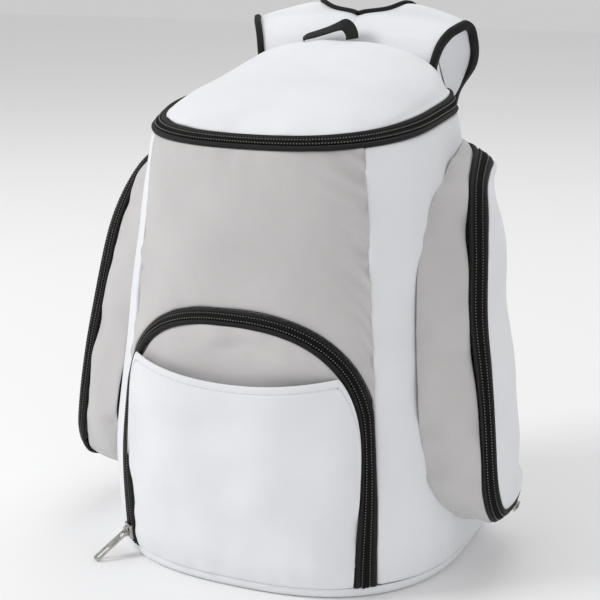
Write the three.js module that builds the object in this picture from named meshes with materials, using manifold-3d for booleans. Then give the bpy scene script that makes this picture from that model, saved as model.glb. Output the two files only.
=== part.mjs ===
import * as THREE from 'three';
import { mergeVertices } from 'three/addons/utils/BufferGeometryUtils.js';
import Module from 'manifold-3d';

const wasm = await Module();
wasm.setup();

// A cooler backpack standing on its base. The front faces -Y, left is -X, and the origin is
// the middle of the base on the surface that the bag stands on. All lengths are in millimetres.

// Driving sizes of the body
const bagHeight = 434;
const bagHalfWidth = 161.5;
const bagFrontDepth = 153;
const bagBackDepth = 97;
const frontRoundness = 2.5;
const backRoundness = 6;
const paddedWall = 4;
const cloth = 1.6;
const seamGap = 0.4;
const seamRest = 0.8;
const baseSeamHeight = 9;
const baseFootInset = 7;

// Driving sizes of the lid
const lidZipFrontDrop = 70;
const lidZipFrontHeight = bagHeight - lidZipFrontDrop;
const lidZipRise = 17;
const lidZipWidth = 17;
const lidCrown = 7;
const lidBackHalfWidth = 101;
const lidBackCornerDrop = 35;
const lidBackCornerHeight = bagHeight - lidBackCornerDrop;
const lidCornerTurn = 0.66;

// Driving sizes of the zips
const coilWidth = 7.6;
const coilHeight = 2.2;
const frontZipWidth = 20.5;

// Driving sizes of the front pocket
const archSpringHeight = 102.5;
const archRise = 135.5;
const archRoundness = 2.6;
const pocketDrop = 25;
const pocketBackTop = 252;
const slipHemSide = 191.5;
const slipHemDip = 10;
const slipMouth = 9;
const hemWidth = 7;

// Driving sizes of the front zip's pull
const sliderHeight = 22.5;
const sliderLength = 13;
const sliderWall = 1.3;
const pullerLength = 37;
const pullerWidth = 8;
const pullerThickness = 1.5;
const pullerDrop = 28.5;
const bridgeWidth = 2.4;
const bridgeLength = 9.6;
const bridgeClear = 2.9;
const bridgeWall = 1.2;

// Driving sizes of the side pockets
const sidePocketDepth = 46;
const sidePocketBulge = 6;
const sidePocketRearDepth = 80;

// Driving sizes of the harness
const strapThickness = 7;
const bindingWidth = 4.5;
const neckBindingWidth = 2.4;
const bindingProud = 0.8;
const webbingWidth = 25;
const webbingThickness = 2;
const webbingFoot = 40;
const adjusterLength = 20;
const loopWidth = 12;
const loopThickness = 2;

// Colours of the cloths and metals
const white = new THREE.MeshStandardMaterial({ color: 0xf0f1f4, roughness: 0.85, metalness: 0 });
const grey = new THREE.MeshStandardMaterial({ color: 0xc4c0bd, roughness: 0.7, metalness: 0 });
const black = new THREE.MeshStandardMaterial({ color: 0x1c1c1d, roughness: 0.8, metalness: 0 });
const coilBlack = new THREE.MeshStandardMaterial({ color: 0x121213, roughness: 0.45, metalness: 0 });
const nickel = new THREE.MeshStandardMaterial({ color: 0xb9b6b0, roughness: 0.3, metalness: 1 });

// Body sections from the floor up, as shares of the bag's height, half width and depths.
// The last column is the place of the front seam, as a share of that section's half width.
const bodySections = [
  { height: 0.0, width: 0.94, front: 0.94, back: 0.955, seam: 0.75 },
  { height: 0.021, width: 0.972, front: 0.974, back: 0.98, seam: 0.745 },
  { height: 0.092, width: 0.994, front: 0.994, back: 1.0, seam: 0.735 },
  { height: 0.219, width: 1.0, front: 1.0, back: 1.0, seam: 0.73 },
  { height: 0.346, width: 0.96, front: 0.974, back: 0.985, seam: 0.733 },
  { height: 0.518, width: 0.88, front: 0.922, back: 0.955, seam: 0.747 },
  { height: 0.668, width: 0.83, front: 0.882, back: 0.93, seam: 0.755 },
  { height: 0.783, width: 0.786, front: 0.85, back: 0.91, seam: 0.762 },
  { height: 0.839, width: 0.762, front: 0.83, back: 0.9, seam: 0.768 },
  { height: 0.93, width: 0.725, front: 0.8, back: 0.88, seam: 0.77 },
  { height: 1.0, width: 0.69, front: 0.77, back: 0.87, seam: 0.77 },
];

// Band of the lid zip round the bag from front to back: its lean towards the middle and its
// rise, as shares of the band's width
const lidBand = [
  { turn: 0.0, lean: 0.84, rise: 0.56 },
  { turn: 0.42, lean: 0.74, rise: 0.66 },
  { turn: 0.62, lean: 0.52, rise: 0.78 },
  { turn: 0.8, lean: 0.4, rise: 0.92 },
  { turn: 1.0, lean: 0.15, rise: 1.04 },
];

// Side pocket from its top back corner, down its front and back along its bottom. The seam on
// the body and both edges of the zip band have a place from front to back (depth, a share of
// the bag's front depth) and a height (a share of the bag's height); out is how far the edge
// stands off the body, as a share of the pocket's own depth.
const sidePocket = [
  {
    seamDepth: 0.5, seamHeight: 0.815, innerOut: 0.08, innerDepth: 0.505, innerHeight: 0.809,
    outerOut: 0.09, outerDepth: 0.515, outerHeight: 0.764, rearHeight: 0.754,
  },
  {
    seamDepth: 0.43, seamHeight: 0.816, innerOut: 0.12, innerDepth: 0.455, innerHeight: 0.809,
    outerOut: 0.36, outerDepth: 0.485, outerHeight: 0.781, rearHeight: 0.75,
  },
  {
    seamDepth: 0.25, seamHeight: 0.806, innerOut: 0.3, innerDepth: 0.28, innerHeight: 0.805,
    outerOut: 0.62, outerDepth: 0.33, outerHeight: 0.781, rearHeight: 0.738,
  },
  {
    seamDepth: 0.07, seamHeight: 0.787, innerOut: 0.42, innerDepth: 0.11, innerHeight: 0.791,
    outerOut: 0.67, outerDepth: 0.19, outerHeight: 0.768, rearHeight: 0.718,
  },
  {
    seamDepth: -0.15, seamHeight: 0.752, innerOut: 0.5, innerDepth: -0.06, innerHeight: 0.752,
    outerOut: 0.76, outerDepth: 0.03, outerHeight: 0.747, rearHeight: 0.692,
  },
  {
    seamDepth: -0.33, seamHeight: 0.7, innerOut: 0.58, innerDepth: -0.18, innerHeight: 0.694,
    outerOut: 0.86, outerDepth: -0.11, outerHeight: 0.693, rearHeight: 0.655,
  },
  {
    seamDepth: -0.42, seamHeight: 0.63, innerOut: 0.67, innerDepth: -0.275, innerHeight: 0.62,
    outerOut: 0.94, outerDepth: -0.22, outerHeight: 0.62, rearHeight: 0.588,
  },
  {
    seamDepth: -0.47, seamHeight: 0.54, innerOut: 0.71, innerDepth: -0.345, innerHeight: 0.53,
    outerOut: 0.98, outerDepth: -0.3, outerHeight: 0.53, rearHeight: 0.51,
  },
  {
    seamDepth: -0.52, seamHeight: 0.44, innerOut: 0.76, innerDepth: -0.385, innerHeight: 0.43,
    outerOut: 1, outerDepth: -0.345, outerHeight: 0.43, rearHeight: 0.42,
  },
  {
    seamDepth: -0.56, seamHeight: 0.34, innerOut: 0.78, innerDepth: -0.415, innerHeight: 0.335,
    outerOut: 1, outerDepth: -0.38, outerHeight: 0.335, rearHeight: 0.34,
  },
  {
    seamDepth: -0.56, seamHeight: 0.25, innerOut: 0.79, innerDepth: -0.445, innerHeight: 0.245,
    outerOut: 1, outerDepth: -0.4, outerHeight: 0.25, rearHeight: 0.27,
  },
  {
    seamDepth: -0.51, seamHeight: 0.185, innerOut: 0.83, innerDepth: -0.45, innerHeight: 0.185,
    outerOut: 1.02, outerDepth: -0.39, outerHeight: 0.195, rearHeight: 0.222,
  },
  {
    seamDepth: -0.4, seamHeight: 0.137, innerOut: 0.82, innerDepth: -0.38, innerHeight: 0.137,
    outerOut: 1.02, outerDepth: -0.33, outerHeight: 0.157, rearHeight: 0.194,
  },
  {
    seamDepth: -0.24, seamHeight: 0.11, innerOut: 0.72, innerDepth: -0.24, innerHeight: 0.113,
    outerOut: 0.95, outerDepth: -0.2, outerHeight: 0.138, rearHeight: 0.176,
  },
  {
    seamDepth: -0.02, seamHeight: 0.098, innerOut: 0.65, innerDepth: -0.02, innerHeight: 0.104,
    outerOut: 0.88, outerDepth: 0, outerHeight: 0.134, rearHeight: 0.166,
  },
  {
    seamDepth: 0.2, seamHeight: 0.096, innerOut: 0.5, innerDepth: 0.21, innerHeight: 0.106,
    outerOut: 0.74, outerDepth: 0.22, outerHeight: 0.136, rearHeight: 0.16,
  },
  {
    seamDepth: 0.4, seamHeight: 0.098, innerOut: 0.24, innerDepth: 0.42, innerHeight: 0.112,
    outerOut: 0.42, outerDepth: 0.43, outerHeight: 0.142, rearHeight: 0.157,
  },
  {
    seamDepth: 0.49, seamHeight: 0.102, innerOut: 0.08, innerDepth: 0.5, innerHeight: 0.109,
    outerOut: 0.09, outerDepth: 0.515, outerHeight: 0.15, rearHeight: 0.156,
  },
];

// Shoulder strap from its seam on the back, over its ridge and down behind the bag. Depth is
// behind the back panel as a share of the bag's back depth, heights are shares of the bag's
// height along both edges, and both edges' places are shares of the bag's half width.
const strapSections = [
  { depth: 0.0, innerHeight: 0.857, outerHeight: 0.857, inner: 0.003, outer: 0.49 },
  { depth: 0.03, innerHeight: 0.91, outerHeight: 0.91, inner: 0.003, outer: 0.5 },
  { depth: 0.07, innerHeight: 0.955, outerHeight: 0.955, inner: 0.003, outer: 0.512 },
  { depth: 0.14, innerHeight: 0.992, outerHeight: 0.99, inner: 0.003, outer: 0.535 },
  { depth: 0.25, innerHeight: 1.022, outerHeight: 1.014, inner: 0.02, outer: 0.57 },
  { depth: 0.37, innerHeight: 1.044, outerHeight: 1.025, inner: 0.045, outer: 0.603 },
  { depth: 0.44, innerHeight: 1.054, outerHeight: 1.029, inner: 0.15, outer: 0.618 },
  { depth: 0.51, innerHeight: 1.066, outerHeight: 1.031, inner: 0.25, outer: 0.63 },
  { depth: 0.63, innerHeight: 1.056, outerHeight: 1.02, inner: 0.29, outer: 0.645 },
  { depth: 0.71, innerHeight: 1.02, outerHeight: 0.99, inner: 0.3, outer: 0.648 },
  { depth: 0.74, innerHeight: 0.955, outerHeight: 0.945, inner: 0.3, outer: 0.62 },
  { depth: 0.71, innerHeight: 0.875, outerHeight: 0.875, inner: 0.3, outer: 0.512 },
  { depth: 0.6, innerHeight: 0.76, outerHeight: 0.76, inner: 0.3, outer: 0.51 },
  { depth: 0.47, innerHeight: 0.64, outerHeight: 0.64, inner: 0.31, outer: 0.52 },
  { depth: 0.35, innerHeight: 0.53, outerHeight: 0.53, inner: 0.325, outer: 0.53 },
  { depth: 0.28, innerHeight: 0.45, outerHeight: 0.45, inner: 0.34, outer: 0.53 },
];

// Flopped haul loop, from its left foot to its right one: across as a share of the bag's half
// width, depth behind the lid's back edge as a share of the bag's back depth, rise above that
// edge as a share of the bag's height, and the webbing's twist in degrees
const haulLoop = [
  { across: -0.235, depth: 0.02, rise: 0.003, twist: 0 },
  { across: -0.215, depth: 0.03, rise: 0.007, twist: 0 },
  { across: -0.165, depth: 0.05, rise: 0.011, twist: 0 },
  { across: -0.095, depth: 0.06, rise: 0.018, twist: 5 },
  { across: -0.035, depth: 0.06, rise: 0.026, twist: 20 },
  { across: 0.005, depth: 0.055, rise: 0.03, twist: 45 },
  { across: 0.035, depth: 0.045, rise: 0.024, twist: 70 },
  { across: 0.056, depth: 0.03, rise: 0.013, twist: 85 },
  { across: 0.062, depth: 0.02, rise: 0.0022, twist: 90 },
];

const group = new THREE.Group();

function lerp(from, to, share) {
  return from + (to - from) * share;
}

// A smooth curve through one column of a table, with the slope at each row taken from its
// neighbours
function column(rows, along, name, at) {
  const last = rows.length - 1;
  const place = THREE.MathUtils.clamp(at, rows[0][along], rows[last][along]);
  let index = 0;
  while (index < last - 1 && place > rows[index + 1][along]) index += 1;
  const slope = (row) => {
    const before = rows[Math.max(row - 1, 0)];
    const after = rows[Math.min(row + 1, last)];
    return (after[name] - before[name]) / (after[along] - before[along]);
  };
  const start = rows[index];
  const end = rows[index + 1];
  const span = end[along] - start[along];
  const t = (place - start[along]) / span;
  const t2 = t * t;
  const t3 = t2 * t;
  return (2 * t3 - 3 * t2 + 1) * start[name] + (t3 - 2 * t2 + t) * span * slope(index)
    + (3 * t2 - 2 * t3) * end[name] + (t3 - t2) * span * slope(index + 1);
}

// The body's section at a height
function bodySection(z) {
  const share = z / bagHeight;
  const width = column(bodySections, 'height', 'width', share) * bagHalfWidth;
  return {
    width,
    front: column(bodySections, 'height', 'front', share) * bagFrontDepth,
    back: column(bodySections, 'height', 'back', share) * bagBackDepth,
    seam: column(bodySections, 'height', 'seam', share) * width,
  };
}

// How far a point lies from the middle of its section: 1 on the body's surface
function bodyShare(x, y, z) {
  const section = bodySection(z);
  const roundness = y < 0 ? frontRoundness : backRoundness;
  const depth = y < 0 ? section.front : section.back;
  return Math.pow(Math.abs(x) / section.width, roundness) + Math.pow(Math.abs(y) / depth, roundness);
}

// The outward direction of the body's surface at a point on it
function bodyNormal(point) {
  const step = 0.5;
  const { x, y, z } = point;
  return new THREE.Vector3(
    bodyShare(x + step, y, z) - bodyShare(x - step, y, z),
    bodyShare(x, y + step, z) - bodyShare(x, y - step, z),
    bodyShare(x, y, z + step) - bodyShare(x, y, z - step),
  ).normalize();
}

function proudOf(point, distance) {
  return point.clone().addScaledVector(bodyNormal(point), distance);
}

function frontPoint(x, z) {
  const section = bodySection(z);
  const share = Math.max(1 - Math.pow(Math.abs(x) / section.width, frontRoundness), 0);
  return new THREE.Vector3(x, -section.front * Math.pow(share, 1 / frontRoundness), z);
}

function backPoint(x, z) {
  const section = bodySection(z);
  const share = Math.max(1 - Math.pow(Math.abs(x) / section.width, backRoundness), 0);
  return new THREE.Vector3(x, section.back * Math.pow(share, 1 / backRoundness), z);
}

// The point of the body's side at a depth and height
function sidePoint(side, y, z) {
  const section = bodySection(z);
  const roundness = y < 0 ? frontRoundness : backRoundness;
  const depth = y < 0 ? section.front : section.back;
  const share = Math.max(1 - Math.pow(Math.abs(y) / depth, roundness), 0);
  return new THREE.Vector3(side * section.width * Math.pow(share, 1 / roundness), y, z);
}

// The body's outline by turn: 0 at the middle of the front, 0.5 at the side, 1 at the back
function ringPoint(side, signedTurn, z) {
  const section = bodySection(z);
  const turn = Math.abs(signedTurn);
  const angle = turn * Math.PI;
  const roundness = turn < 0.5 ? frontRoundness : backRoundness;
  const depth = turn < 0.5 ? -section.front : section.back;
  const across = Math.pow(Math.abs(Math.sin(angle)), 2 / roundness);
  const along = Math.pow(Math.abs(Math.cos(angle)), 2 / roundness);
  const hand = signedTurn < 0 ? -side : side;
  return new THREE.Vector3(hand * section.width * across, depth * along, z);
}

// The turn at which the outline reaches a place across, in front or behind
function turnAt(x, z, behind) {
  const section = bodySection(z);
  const roundness = behind ? backRoundness : frontRoundness;
  const share = Math.min(Math.abs(x) / section.width, 1);
  const angle = Math.asin(Math.pow(share, roundness / 2)) / Math.PI;
  return behind ? 1 - angle : angle;
}

// Height of the lid zip's lower edge, which rises towards the back
function lidZipHeight(y) {
  const reach = bagFrontDepth + bagBackDepth;
  const share = THREE.MathUtils.clamp((y + bagFrontDepth) / reach, 0, 1);
  return lidZipFrontHeight + lidZipRise * share;
}

function lowerZipEdge(side, turn) {
  let point = ringPoint(side, turn, lidZipFrontHeight);
  for (let pass = 0; pass < 4; pass += 1) point = ringPoint(side, turn, lidZipHeight(point.y));
  return point;
}

// The upper edge of the lid zip's band, leaned in from the lower one
function upperZipEdge(side, turn) {
  const low = lowerZipEdge(side, turn);
  const share = Math.abs(turn) / lidBackTurn;
  const outward = bodyNormal(low).setZ(0).normalize();
  const lean = column(lidBand, 'turn', 'lean', share) * lidZipWidth;
  const rise = column(lidBand, 'turn', 'rise', share) * lidZipWidth;
  return low.clone().addScaledVector(outward, -lean).add(new THREE.Vector3(0, 0, rise));
}

// Height of the lid's back edge, an arch between its two back corners
function backArchHeight(x) {
  const share = Math.min(Math.abs(x) / lidBackHalfWidth, 1);
  const rise = bagHeight - lidBackCornerHeight;
  return lidBackCornerHeight + rise * Math.pow(1 - Math.pow(share, 2.4), 0.6);
}

// The vector that offsets both walls of a corner by one unit, so that their ends meet
function mitre(first, second) {
  return first.clone().add(second).divideScalar(1 + first.dot(second));
}

function bandNormal(side, turn) {
  const step = 0.004;
  const along = lowerZipEdge(side, turn + step).sub(lowerZipEdge(side, turn - step));
  const across = upperZipEdge(side, turn).sub(lowerZipEdge(side, turn));
  const normal = new THREE.Vector3().crossVectors(along, across).normalize();
  return normal.z < 0 ? normal.negate() : normal;
}

// A closed sheet between two grids of points of the same size
function closedSheet(outer, inner) {
  const rows = outer.length;
  const columns = outer[0].length;
  const positions = [];
  for (const grid of [outer, inner]) {
    for (const row of grid) for (const point of row) positions.push(point.x, point.y, point.z);
  }
  const at = (layer, row, col) => layer * rows * columns + row * columns + col;
  const index = [];
  const quad = (a, b, c, d) => index.push(a, b, c, a, c, d);
  for (let row = 0; row < rows - 1; row += 1) {
    for (let col = 0; col < columns - 1; col += 1) {
      quad(at(0, row, col), at(0, row, col + 1), at(0, row + 1, col + 1), at(0, row + 1, col));
      quad(at(1, row, col), at(1, row + 1, col), at(1, row + 1, col + 1), at(1, row, col + 1));
    }
  }
  for (let col = 0; col < columns - 1; col += 1) {
    quad(at(0, 0, col + 1), at(0, 0, col), at(1, 0, col), at(1, 0, col + 1));
    quad(at(0, rows - 1, col), at(0, rows - 1, col + 1), at(1, rows - 1, col + 1), at(1, rows - 1, col));
  }
  for (let row = 0; row < rows - 1; row += 1) {
    quad(at(0, row, 0), at(0, row + 1, 0), at(1, row + 1, 0), at(1, row, 0));
    quad(at(0, row + 1, columns - 1), at(0, row, columns - 1), at(1, row, columns - 1), at(1, row + 1, columns - 1));
  }
  return facingOut(positions, index);
}

// Turns a closed mesh right side out, by the sign of its volume
function facingOut(positions, index) {
  let volume = 0;
  const corner = (i) => new THREE.Vector3().fromArray(positions, index[i] * 3);
  for (let i = 0; i < index.length; i += 3) {
    volume += corner(i).dot(corner(i + 1).cross(corner(i + 2)));
  }
  if (volume < 0) {
    for (let i = 0; i < index.length; i += 3) {
      [index[i + 1], index[i + 2]] = [index[i + 2], index[i + 1]];
    }
  }
  const geometry = new THREE.BufferGeometry();
  geometry.setAttribute('position', new THREE.Float32BufferAttribute(positions, 3));
  geometry.setIndex(index);
  return geometry;
}

function add(name, geometry, material) {
  const mesh = new THREE.Mesh(geometry, material);
  mesh.name = name;
  group.add(mesh);
  return mesh;
}

function grid(rows, columns, pointAt) {
  const points = [];
  for (let row = 0; row <= rows; row += 1) {
    const line = [];
    for (let col = 0; col <= columns; col += 1) line.push(pointAt(row / rows, col / columns));
    points.push(line);
  }
  return points;
}

// A sheet that follows the body: its outer face stands proud by an amount of its own
function bodySheet(rows, columns, pointAt, proud, thickness) {
  const base = grid(rows, columns, pointAt);
  const lay = (distance) => base.map((line) => line.map((point) => proudOf(point, distance)));
  return closedSheet(lay(proud), lay(proud - thickness));
}

// A bar of a rectangular section along stations that each have a place and two directions
function bar(stations, halfWidth, low, high) {
  const edge = (across, out) => stations.map((station) => station.place.clone()
    .addScaledVector(station.across, across * halfWidth)
    .addScaledVector(station.out, out));
  return closedSheet([edge(-1, high), edge(1, high)], [edge(-1, low), edge(1, low)]);
}

function archHalf(z) {
  return bodySection(z).seam;
}

// How far in a band's inner edge lies, so that the band keeps its width on the curved cloth
function legInset(z, width) {
  const outer = frontPoint(archHalf(z), z);
  let inset = width;
  for (let pass = 0; pass < 12; pass += 1) {
    inset *= width / outer.distanceTo(frontPoint(archHalf(z) - inset, z));
  }
  return inset;
}

// Height of the front zip's arch over a place across, for a line that lies in from its edge
function archHeight(x, width) {
  const spring = archSpringHeight;
  const reach = archHalf(spring) - (width > 0 ? legInset(spring, width) : 0);
  const share = Math.min(Math.abs(x) / reach, 1);
  const up = Math.pow(1 - Math.pow(share, archRoundness), 1 / archRoundness);
  return spring + (archRise - width) * up;
}

// Stations of the front zip's band from its left foot, over the arch, to its right foot, each
// with its outer and inner edge as a place across and a height
function archStations() {
  const foot = baseSeamHeight + seamGap;
  const legSteps = 5;
  const turnSteps = 11;
  const half = [];
  for (let step = 0; step < legSteps; step += 1) {
    const z = lerp(foot, archSpringHeight, step / legSteps);
    const inset = legInset(z, frontZipWidth);
    half.push({ outer: [archHalf(z), z], inner: [archHalf(z) - inset, z] });
  }
  const springInset = legInset(archSpringHeight, frontZipWidth);
  for (let step = 0; step <= turnSteps; step += 1) {
    const angle = (step / turnSteps) * Math.PI / 2;
    const across = Math.pow(Math.cos(angle), 2 / archRoundness);
    const up = Math.pow(Math.sin(angle), 2 / archRoundness);
    const outerHeight = archSpringHeight + archRise * up;
    const outerAcross = Math.min(archHalf(archSpringHeight) * across, archHalf(outerHeight));
    const innerHeight = archSpringHeight + (archRise - frontZipWidth) * up;
    const innerAcross = (archHalf(archSpringHeight) - springInset) * across;
    half.push({ outer: [outerAcross, outerHeight], inner: [innerAcross, innerHeight] });
  }
  const flip = ([x, z]) => [-x, z];
  const left = half.map((station) => ({ outer: flip(station.outer), inner: flip(station.inner) }));
  return left.concat(half.slice(0, -1).reverse());
}

// The point of the band at a share of its width, from its outer edge inwards
function bandPoint(station, share) {
  const x = lerp(station.outer[0], station.inner[0], share);
  const z = lerp(station.outer[1], station.inner[1], share);
  return frontPoint(x, z);
}

function basePanel() {
  const steps = 40;
  const floor = cloth * 2;
  const ring = (inset, z, height) => {
    const points = [];
    for (let step = 0; step < steps; step += 1) {
      const turn = ((step + 0.5) / steps) * 2;
      const side = turn > 1 ? -1 : 1;
      const point = ringPoint(side, turn > 1 ? 2 - turn : turn, height);
      const outward = bodyNormal(point).setZ(0).normalize();
      points.push(point.addScaledVector(outward, -inset).setZ(z));
    }
    return points;
  };
  const rim = baseSeamHeight - seamGap / 2;
  const rings = [
    ring(baseFootInset, 0, 0),
    ring(1.5, baseSeamHeight * 0.3, baseSeamHeight * 0.3),
    ring(0, rim, baseSeamHeight),
    ring(paddedWall, rim, baseSeamHeight),
    ring(paddedWall + baseFootInset, floor, baseSeamHeight),
  ];
  const positions = [];
  rings.flat().forEach((point) => positions.push(point.x, point.y, point.z));
  const index = [];
  const at = (level, step) => level * steps + (step % steps);
  for (let level = 0; level < rings.length - 1; level += 1) {
    for (let step = 0; step < steps; step += 1) {
      index.push(at(level, step), at(level, step + 1), at(level + 1, step + 1));
      index.push(at(level, step), at(level + 1, step + 1), at(level + 1, step));
    }
  }
  // Both floors are fans round a middle that lies well forward, so that a whole facet lies
  // under the origin
  const under = positions.length / 3;
  positions.push(0, -bagFrontDepth * 0.55, 0);
  positions.push(0, -bagFrontDepth * 0.55, floor);
  for (let step = 0; step < steps; step += 1) {
    index.push(under, at(0, step + 1), at(0, step));
    index.push(under + 1, at(rings.length - 1, step), at(rings.length - 1, step + 1));
  }
  add('base_panel', facingOut(positions, index), white);
}

// Offsets the top edge of a wall by its mitre with the lid's band
function wallSheet(rows, columns, pointAt, turnOf, hasBand) {
  const outer = grid(rows, columns, pointAt);
  const inner = outer.map((line, row) => line.map((point) => {
    const normal = bodyNormal(point);
    if (row < rows || !hasBand) return point.clone().addScaledVector(normal, -paddedWall);
    const band = bandNormal(Math.sign(point.x) || 1, turnOf(point));
    return point.clone().addScaledVector(mitre(normal, band), -paddedWall);
  }));
  return closedSheet(outer, inner);
}

function frontPanel() {
  const pointAt = (rowShare, colShare) => {
    const u = Math.sin((colShare - 0.5) * Math.PI);
    const edge = (z) => archHalf(z) - seamGap / 2;
    let low = archSpringHeight + archRise;
    for (let pass = 0; pass < 30; pass += 1) low = lerp(low, archHeight(u * edge(low), 0), 0.7);
    low += seamGap;
    let high = lidZipFrontHeight;
    for (let pass = 0; pass < 4; pass += 1) high = lidZipHeight(frontPoint(u * edge(high), high).y);
    high -= seamGap / 2;
    const z = lerp(low, high, rowShare);
    return frontPoint(u * edge(z), z);
  };
  const turnOf = (point) => turnAt(point.x, point.z, false);
  add('front_panel', wallSheet(8, 20, pointAt, turnOf, true), grey);
}

function backSeam(z) {
  const share = THREE.MathUtils.clamp(z / lidBackCornerHeight, 0, 1);
  return lerp(bagHalfWidth * 0.84, lidBackHalfWidth, Math.pow(share, 1.3));
}

const lidBackTurn = turnAt(backSeam(lidZipFrontHeight + lidZipRise), lidZipFrontHeight + lidZipRise, true);

function sidePanel(name, side) {
  const rows = 12;
  const columns = 12;
  const pointAt = (rowShare, colShare) => {
    const shareAt = (z) => {
      const section = bodySection(z);
      const start = turnAt(section.seam + seamGap / 2, z, false);
      const end = turnAt(backSeam(z) + seamGap / 2, z, true);
      return lerp(start, end, colShare);
    };
    let high = lidZipFrontHeight;
    for (let pass = 0; pass < 5; pass += 1) high = lidZipHeight(ringPoint(side, shareAt(high), high).y);
    high -= seamGap / 2;
    const z = lerp(baseSeamHeight + seamGap / 2, high, rowShare);
    return ringPoint(side, shareAt(z), z);
  };
  const turnOf = (point) => (point.y < 0 ? turnAt(point.x, point.z, false) : turnAt(point.x, point.z, true));
  add(name, wallSheet(rows, columns, pointAt, turnOf, true), white);
}

function backPanel() {
  const pointAt = (rowShare, colShare) => {
    const u = Math.sin((colShare - 0.5) * Math.PI * 0.94) / Math.sin(Math.PI * 0.47);
    const top = backArchHeight(u * (lidBackHalfWidth - seamGap / 2)) - seamGap / 2;
    const z = lerp(baseSeamHeight + seamGap / 2, top, rowShare);
    return backPoint(u * (backSeam(z) - seamGap / 2), z);
  };
  add('back_panel', wallSheet(10, 12, pointAt, null, false), white);
}

// The lid as a patch between the zip's upper edge and the back arch. Its back edge stops at
// the back panel's inner face.
const lidFrontSteps = 16;
const lidRowSteps = 8;
const lidCornerPlace = lidCornerTurn / 2;
const lidBackPlane = backPoint(lidBackHalfWidth, lidBackCornerHeight).y - paddedWall - seamGap;
const lidEndTurn = turnAtDepth(lidBackPlane, lidBackCornerHeight);

function turnAtDepth(y, z) {
  const share = Math.pow(y / bodySection(z).back, backRoundness / 2);
  return 1 - Math.acos(share) / Math.PI;
}

function lidFrontEdge(share) {
  return upperZipEdge(1, (share - 0.5) * 2 * lidCornerPlace);
}

function lidSideEdge(side, share) {
  return upperZipEdge(side, lerp(lidCornerPlace, lidEndTurn, share));
}

function lidBackEdge(share) {
  const left = lidSideEdge(-1, 1);
  const x = lerp(left.x, -left.x, share);
  const height = backArchHeight(x);
  const corner = Math.pow(Math.abs(x / left.x), 12);
  const depth = lerp(backPoint(x, height).y - paddedWall - seamGap, left.y, corner);
  return new THREE.Vector3(x, depth, height + (left.z - backArchHeight(left.x)) * corner);
}

function lidPoint(across, along) {
  const blend = (low, high, share) => low.clone().lerp(high, share);
  const ruledAlong = blend(lidFrontEdge(across), lidBackEdge(across), along);
  const ruledAcross = blend(lidSideEdge(-1, along), lidSideEdge(1, along), across);
  const corners = blend(
    blend(lidFrontEdge(0), lidFrontEdge(1), across),
    blend(lidBackEdge(0), lidBackEdge(1), across),
    along,
  );
  const point = ruledAlong.add(ruledAcross).sub(corners);
  const crown = 16 * across * (1 - across) * along * (1 - along);
  return point.add(new THREE.Vector3(0, 0, lidCrown * crown));
}

function lidNormal(across, along) {
  const step = 0.02;
  const clampShare = (share) => THREE.MathUtils.clamp(share, 0, 1);
  const dx = lidPoint(clampShare(across + step), along).sub(lidPoint(clampShare(across - step), along));
  const dy = lidPoint(across, clampShare(along + step)).sub(lidPoint(across, clampShare(along - step)));
  const normal = new THREE.Vector3().crossVectors(dx, dy).normalize();
  return normal.z < 0 ? normal.negate() : normal;
}

// The turn round the bag at a place on the lid's edge
function lidEdgeTurn(across, along) {
  if (along === 0) return (across - 0.5) * 2 * lidCornerPlace;
  return (across === 0 ? -1 : 1) * lerp(lidCornerPlace, lidEndTurn, along);
}

function lidEdgeMitre(across, along) {
  return mitre(bandNormal(1, lidEdgeTurn(across, along)), lidNormal(across, along));
}

function lidPanel() {
  const outer = [];
  const inner = [];
  for (let row = 0; row <= lidRowSteps; row += 1) {
    const outerLine = [];
    const innerLine = [];
    for (let col = 0; col <= lidFrontSteps; col += 1) {
      const across = col / lidFrontSteps;
      const along = row / lidRowSteps;
      const onEdge = row === 0 || col === 0 || col === lidFrontSteps;
      const direction = onEdge ? lidEdgeMitre(across, along) : lidNormal(across, along);
      if (row === lidRowSteps) direction.setY(0);
      const point = lidPoint(across, along);
      const centre = lidPoint(0.5, 0.5);
      if (onEdge) point.add(centre.sub(point).setLength(seamGap));
      outerLine.push(point);
      innerLine.push(point.clone().addScaledVector(direction, -paddedWall));
    }
    outer.push(outerLine);
    inner.push(innerLine);
  }
  add('lid_panel', closedSheet(outer, inner), white);
}

// Stations of the lid zip from the left back corner, round the front, to the right one
function lidStations() {
  const places = [];
  for (let row = lidRowSteps; row > 0; row -= 1) places.push([0, row / lidRowSteps]);
  for (let col = 0; col <= lidFrontSteps; col += 1) places.push([col / lidFrontSteps, 0]);
  for (let row = 1; row <= lidRowSteps; row += 1) places.push([1, row / lidRowSteps]);
  const stations = places.map(([across, along]) => ({
    turn: lidEdgeTurn(across, along),
    highMitre: lidEdgeMitre(across, along),
  }));
  const end = lidBackTurn * 0.992;
  stations.unshift({ turn: -end, highMitre: stations[0].highMitre });
  stations.push({ turn: end, highMitre: stations[stations.length - 1].highMitre });
  return stations.map(({ turn, highMitre }) => {
    const low = lowerZipEdge(1, turn);
    const normal = bandNormal(1, turn);
    const lowMitre = mitre(bodyNormal(low), normal);
    return { low, high: upperZipEdge(1, turn), normal, lowMitre, highMitre };
  });
}

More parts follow.
